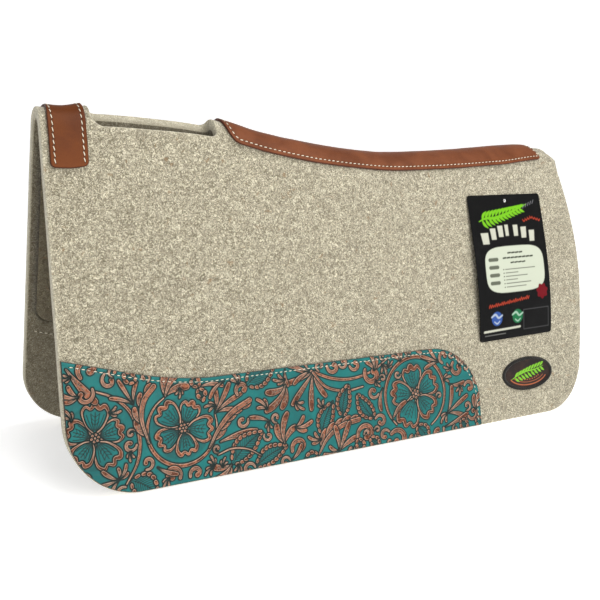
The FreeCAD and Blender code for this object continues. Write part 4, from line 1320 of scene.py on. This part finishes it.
rings, spokes = 64, 220
r = np.concatenate([[0.004], np.linspace(0.02, 1, rings - 1)])[:, None]
turn = np.linspace(0, 2 * math.pi, spokes, endpoint=False)[None, :]
x = ((PATCH_LONG - 1.2) * r * np.cos(turn)).ravel()
y = ((PATCH_SHORT - 1.2) * r * np.sin(turn)).ravel()
on_sheet = (x + patch_board.x[-1] / 2, y + patch_board.y[-1] / 2)
crown = 0.5 * (1 - np.repeat(r.ravel(), spokes) ** 4)
high = PATCH_THICK - 0.5 + crown + patch_board.read("relief", *on_sheet)
x, y, high = (np.concatenate([values, low]) for values, low in
              ((x, x[-spokes:]), (y, y[-spokes:]), (high, np.zeros(spokes))))
patch = solid("maker_patch", on_leg((PATCH_U + x) * MM, (PATCH_V + y) * MM, high * MM, NEAR),
              tube_faces(rings + 1, spokes), stamped_leather())
patch.data.flip_normals()
for mask in ("copper", "green"):
    store(patch, mask, np.concatenate([patch_board.read(mask, *on_sheet), np.zeros(spokes)]))
ride_on("near_side", "patch_leather", patch, "oval_patch")

black_thread = waxed_thread("black_thread", (0.008, 0.007, 0.006), (0.03, 0.025, 0.02))
loops, rows, around = 150, 9, 6
t = np.linspace(0, math.pi, rows)
angle = np.linspace(0, 2 * math.pi, around, endpoint=False)
strands = []
for k in range(loops):
    a = 2 * math.pi * k / loops
    slant = a + 0.045 * (t / math.pi - 0.5)
    reach = BORDER_WIDE / 2 * np.cos(t)
    outward = np.stack([PATCH_SHORT * np.cos(slant), PATCH_LONG * np.sin(slant)], axis=1)
    outward /= np.linalg.norm(outward, axis=1, keepdims=True)
    u = PATCH_U + (PATCH_LONG - BORDER_WIDE / 2) * np.cos(slant) + outward[:, 0] * reach
    v = PATCH_V + (PATCH_SHORT - BORDER_WIDE / 2) * np.sin(slant) + outward[:, 1] * reach
    line = on_leg(u * MM, v * MM, (0.5 + 2.2 * np.sin(t) + 0.10 * rng.uniform(-1, 1)) * MM, NEAR)
    along = np.gradient(line, axis=0)
    along /= np.linalg.norm(along, axis=1, keepdims=True)
    beside = np.cross(along, np.array((0, -COS, SIN)) + 0.2 * along)
    beside /= np.linalg.norm(beside, axis=1, keepdims=True)
    lift = np.cross(beside, along)
    strands.append((line[:, None] + 0.62 * MM * (np.cos(angle)[None, :, None] * beside[:, None]
                    + np.sin(angle)[None, :, None] * lift[:, None])).reshape(-1, 3))
faces = repeated(grid_faces(rows, around, wrap=True).tolist(), rows * around, loops)
overcast = solid("patch_overcast", np.concatenate(strands), faces, black_thread)
ride_on("near_side", "border_thread", overcast, "patch_border")

# ------------------------------------------------------------------ hang tag
# A printed card with rounded corners, bowed a little off the felt between its pin and its foot. It
# carries generic marks only: a sprig, blocks, a ruled panel, discs and a blank box.
PIN_U, PIN_V, CARD_WIDE, CARD_TALL, CARD_THICK = 640.0, 311.5, 140.0, 205.0, 0.6
PIN_FROM_TOP, CARD_LEAN, CARD_CORNER, CARD_BOW = 9.0, math.radians(1.4), 4.0, 7.5
CARD_BLACK, CARD_BACK = 0.0036, 0.02
card = Board(CARD_WIDE, CARD_TALL, 0.5, "red", "green", "blue")
for name in ("red", "green", "blue"):
    card.layers[name] += CARD_BLACK


def ink(cut, d, colour, soft=0.5):
    amount = np.clip(0.5 - d / soft, 0, 1)
    for name, value in zip(("red", "green", "blue"), colour):
        card.layers[name][cut] += (value - card.layers[name][cut]) * amount


def ink_line(points, colour):
    ink(*card.distance(flowing(points, 0.8), 1.5), colour)


def ink_area(outline, colour):
    ink(*card.filled(outline, 1.5), colour)


CREAM, LIME, RED = (0.44, 0.44, 0.36), (0.14, 0.40, 0.012), (0.30, 0.035, 0.016)
# The sprig at the top: a long stem with leaves, and a scatter of small red ticks beside it.
ink_line([(16, 168, 0.6), (30, 172, 1.6), (48, 172, 2.2), (70, 177, 1.9), (92, 183, 1.2), (112, 190, 0.5)],
         LIME)
for k, x in enumerate(np.linspace(22, 96, 12)):
    y = 170 + 0.19 * (x - 22)
    for hand in (-1, 1):
        reach = hand * (11 - 0.55 * k)
        ink_line([(x, y, 0.5), (x + 3.5, y + reach * 0.6, 2.3), (x + 10, y + reach * 1.1, 0.3)], LIME)
for k in range(7):
    ink_line([(100 + 5 * k, 172 - 1.4 * abs(k - 3), 0.5), (102.5 + 5 * k, 169 - 1.4 * abs(k - 3), 1.0),
              (105 + 5 * k, 171.5 - 1.4 * abs(k - 3), 0.4)], RED)
for k in range(5):
    ink_line([(104 + 5 * k, 184 + 1.6 * k, 0.5), (107 + 5 * k, 189 + 1.6 * k, 0.5)], (0.16, 0.16, 0.17))
# An arched row of plain blocks of different widths.
for x, half_wide in ((24, 7.0), (40, 5.2), (54, 5.0), (66, 3.4), (83, 4.6), (98, 5.4), (113, 5.4)):
    foot_y = 145.5 - 0.0050 * (x - 69) ** 2
    top_x = x + 0.035 * (x - 69)
    ink_area([(x - 0.86 * half_wide, foot_y), (x + 0.86 * half_wide, foot_y),
              (top_x + half_wide, foot_y + 16), (top_x - half_wide, foot_y + 16)], CREAM)
# A rounded pale panel with ruled lines.
panel = [(74 + 57 * math.copysign(abs(math.cos(t)) ** 0.5, math.cos(t)),
          98 + 33 * math.copysign(abs(math.sin(t)) ** 0.5, math.sin(t)))
         for t in np.linspace(0, 2 * math.pi, 120, endpoint=False)]
ink_area(panel, (0.46, 0.49, 0.39))
for k, (start, end) in enumerate(((62, 92), (52, 106), (66, 90))):
    for x in np.arange(start, end, 7.5):
        ink_line([(x, 121 - 7 * k, 1.1), (x + 5.2, 121.4 - 7 * k, 1.1)], (0.03, 0.035, 0.025))
for k, end in enumerate((112, 78, 96, 76, 102, 92)):
    ink_line([(50, 98 - 5 * k, 0.7), (51, 98 - 5 * k, 0.7)], (0.03, 0.03, 0.025))
    ink_line([(54, 98 - 5 * k, 0.55), (end, 98 - 5 * k, 0.55)], (0.07, 0.07, 0.06))
for k in range(4):
    ink_line([(26, 80 + 11 * k, 2.6), (40, 80 + 11 * k, 2.6)], (0.10, 0.11, 0.08))
# A red flourish and disc, two small seals, a footer bar and an empty box.
flourish = [(18 + 1.9 * k, 47 + 0.18 * k + (3.4 if k % 2 else -1.2) * (0.7 + 0.3 * math.sin(k)), 0.75)
            for k in range(42)]
ink_line(flourish, RED)
ink_area([polar(123, 62, 10.5 + 1.2 * math.sin(7 * t), math.degrees(t)) for t in np.linspace(0, 6.2, 50)],
         (0.13, 0.004, 0.008))
for cx, colour, pale in ((32, (0.03, 0.075, 0.26), (0.32, 0.37, 0.45)),
                         (72, (0.012, 0.12, 0.045), (0.26, 0.4, 0.3))):
    ink_area([polar(cx, 30, 10, t) for t in range(0, 360, 12)], colour)
    ink_line([(cx - 10, 33, 1.3), (cx - 3, 36, 1.5), (cx + 3, 31, 1.4), (cx + 10, 34, 1.2)], pale)
    ink_line([(cx - 5, 26, 0.8), (cx, 23, 1.0), (cx + 5, 26, 0.8)], pale)
for x in np.arange(8, 74, 5.4):
    ink_line([(x, 13.0 + 0.02 * x, 1.5), (x + 3.6, 13.2 + 0.02 * x, 1.5)], CREAM)
ink_line([(9, 7.5, 0.5), (48, 7.8, 0.5)], (0.14, 0.14, 0.13))
box = [(84, 10, 0.45), (134, 10, 0.45), (134, 38, 0.45), (84, 38, 0.45)]
for a, b in zip(box, box[1:] + box[:1]):
    ink_line([a, b], (0.06, 0.06, 0.06))


def printed_card():
    material, tree, shader = blank_material("printed_card", Specular_IOR_Level=0.07)
    inks = {i: stored(tree, name) for i, name in enumerate(("red", "green", "blue"))}
    colour = node(tree, "CombineColor", values=inks).outputs[0]
    fibre, smear = noise(tree, 700.0, 4.0), noise(tree, 22.0, 5.0, Roughness=0.6)
    dusty = times(tree, between(tree, smear, 0.45, 0.8), between(tree, fibre, 0.3, 0.8))
    colour = tint(tree, times(tree, dusty, 0.02), colour, (0.4, 0.4, 0.38))
    feed(tree, shader, Base_Color=colour, Roughness=between(tree, smear, 0.2, 0.8, 0.34, 0.48))
    bump(tree, shader, fibre, 0.12, 0.05)
    return material


cell = 0.8
down = np.linspace(0, CARD_TALL, int(CARD_TALL / cell))
into = np.clip(CARD_CORNER - np.minimum(down, CARD_TALL - down), 0, CARD_CORNER)
wide = CARD_WIDE / 2 - CARD_CORNER + np.sqrt(CARD_CORNER**2 - into**2)
x = np.linspace(-1, 1, int(CARD_WIDE / cell))[None, :] * wide[:, None]
y = np.broadcast_to(down[:, None], x.shape)


def on_card(x, y, out):
    """x across from the card's middle line, y up from its foot, in millimetres; out from its back."""
    x, y = np.asarray(x, float), np.asarray(y, float)
    from_pin = CARD_TALL - PIN_FROM_TOP - y
    f = np.clip(y / CARD_TALL, 0, 1)
    bowed = CARD_BOW * np.sin(math.pi * f**0.9) * (1 - 0.25 * f) + 0.5 * (x / (CARD_WIDE / 2)) ** 2 * f
    u = PIN_U + x * math.cos(CARD_LEAN) + from_pin * math.sin(CARD_LEAN)
    v = PIN_V - from_pin * math.cos(CARD_LEAN) + x * math.sin(CARD_LEAN)
    return on_leg(u * MM, v * MM, (out + 0.7 + bowed) * MM, NEAR)


front, reverse = on_card(x.ravel(), y.ravel(), CARD_THICK), on_card(x.ravel(), y.ravel(), 0)
rows, columns = x.shape
count = rows * columns
faces = grid_faces(rows, columns)
rim = grid_rim(rows, columns)
ahead = np.roll(rim, -1)
wall = np.stack([ahead, rim, count + rim, count + ahead], axis=1)
tag = solid("printed_tag", np.vstack([front, reverse]), np.vstack([faces, faces[:, ::-1] + count, wall]),
            printed_card())
for name in ("red", "green", "blue"):
    values = card.read(name, x.ravel() + CARD_WIDE / 2, y.ravel())
    store(tag, name, np.concatenate([values, np.full(count, CARD_BACK)]))
ride_on("tag", "card", tag, "hang_tag")

# ------------------------------------------------------------------ tag pin
# A moulded nylon pin: a domed head in front of the card, a thin shaft through card and felt, and a
# crossbar that holds it behind.
def nylon_material():
    material, tree, shader = blank_material("moulded_nylon", Roughness=0.2, Transmission_Weight=0.8)
    cloudy = between(tree, noise(tree, 400.0, 3.0), 0.3, 0.7)
    feed(tree, shader, Base_Color=tint(tree, cloudy, (0.75, 0.75, 0.72), (0.6, 0.6, 0.57)))
    return material


nylon = nylon_material()
card_at_pin = CARD_BOW * math.sin(math.pi * (1 - PIN_FROM_TOP / CARD_TALL) ** 0.9) * 0.75
head_at = 0.7 + CARD_THICK + card_at_pin + 0.15
outline = [(r, head_at + out) for r, out in ((0.02, 1.05), (1.2, 0.98), (2.1, 0.75), (2.55, 0.42), (2.6, 0.2),
                                             (2.45, 0), (0.5, -0.05))]
outline += [(0.5, -13.4), (0.45, -13.8), (0.02, -13.9)]
crossbar = [(-5.1, 0.15), (-5, 0.45), (-4.7, 0.6), (4.7, 0.6), (5, 0.45), (5.1, 0.15)]
pin_around = 28
turn = np.linspace(0, 2 * math.pi, pin_around, endpoint=False)
pin_points = [on_leg((PIN_U + r * np.cos(turn)) * MM, (PIN_V + r * np.sin(turn)) * MM, out * MM, NEAR)
              for r, out in outline]
pin_points += [on_leg((PIN_U + x) * MM, (PIN_V + r * np.cos(turn)) * MM,
                      (r * np.sin(turn) - 13.4) * MM, NEAR) for x, r in crossbar]
pin = solid("nylon_pin", np.concatenate(pin_points), tube_faces(len(outline), pin_around)
            + tube_faces(len(crossbar), pin_around, len(outline) * pin_around), nylon)
ride_on("near_side", "nylon", pin, "tag_pin")

# ------------------------------------------------------------------ loose wool
# Short loose fibres that lie in the felt's faces and cut edges.
def wool_fibre():
    material, tree, shader = blank_material("loose_wool", Roughness=0.9, Specular_IOR_Level=0.1,
                                            Sheen_Weight=0.3)
    shade = between(tree, noise(tree, 240.0, 2.0), 0.4, 0.62)
    feed(tree, shader, Base_Color=tint(tree, shade, (0.62, 0.58, 0.49), (0.19, 0.155, 0.105)))
    return material


loose_wool = wool_fibre()
FACE_FIBRES, EDGE_FIBRES = 9000, 5200
for half, side in HALVES.items():
    piece, points, place = felt_pieces[half]
    corner = np.array([polygon.vertices[:3] for polygon in piece.data.polygons])
    rim = points[corner, 3].mean(1) > 0.9
    normal = np.cross(place[corner[:, 1]] - place[corner[:, 0]], place[corner[:, 2]] - place[corner[:, 0]])
    area = np.linalg.norm(normal, axis=1)
    normal /= np.maximum(area[:, None], 1e-12)
    normal *= -1
    strips = []
    for picked, total, low, high in ((~rim, FACE_FIBRES, 0.05, 0.45), (rim, EDGE_FIBRES, 0.15, 0.8)):
        chance = area * picked
        chosen = rng.choice(len(corner), total, p=chance / chance.sum())
        a, b = rng.random((2, total, 1))
        flip = (a + b) > 1
        a, b = np.where(flip, 1 - a, a), np.where(flip, 1 - b, b)
        base = (place[corner[chosen, 0]] * (1 - a - b) + place[corner[chosen, 1]] * a
                + place[corner[chosen, 2]] * b)
        up = normal[chosen]
        heading = np.cross(up, rng.normal(size=(total, 3)))
        heading /= np.linalg.norm(heading, axis=1, keepdims=True)
        sideways = np.cross(up, heading)
        long = rng.uniform(1.6, 4.2, (total, 1)) * MM
        rise = rng.uniform(low, high, (total, 1)) * long
        sway = rng.uniform(-0.4, 0.4, (total, 1)) * long
        thin = rng.uniform(0.05, 0.09, (total, 1)) * MM
        for f, lift, width in ((0, -0.1, 1.0), (0.4, 0.75, 1.0), (0.75, 1.0, 0.8), (1.0, 0.9, 0.15)):
            mid = base + heading * long * f + up * rise * lift + sideways * sway * f * f
            strips += [mid - sideways * thin * width, mid + sideways * thin * width]
    ribbons = np.concatenate([np.stack(strips[k:k + 8], axis=1).reshape(-1, 3) for k in (0, 8)])
    pattern = np.array([[0, 1, 3, 2], [2, 3, 5, 4], [4, 5, 7, 6]])
    faces = (np.arange(FACE_FIBRES + EDGE_FIBRES)[:, None, None] * 8 + pattern[None]).reshape(-1, 4)
    follow_flex(solid("loose_wool_" + half, ribbons, faces, loose_wool), half, "felt")
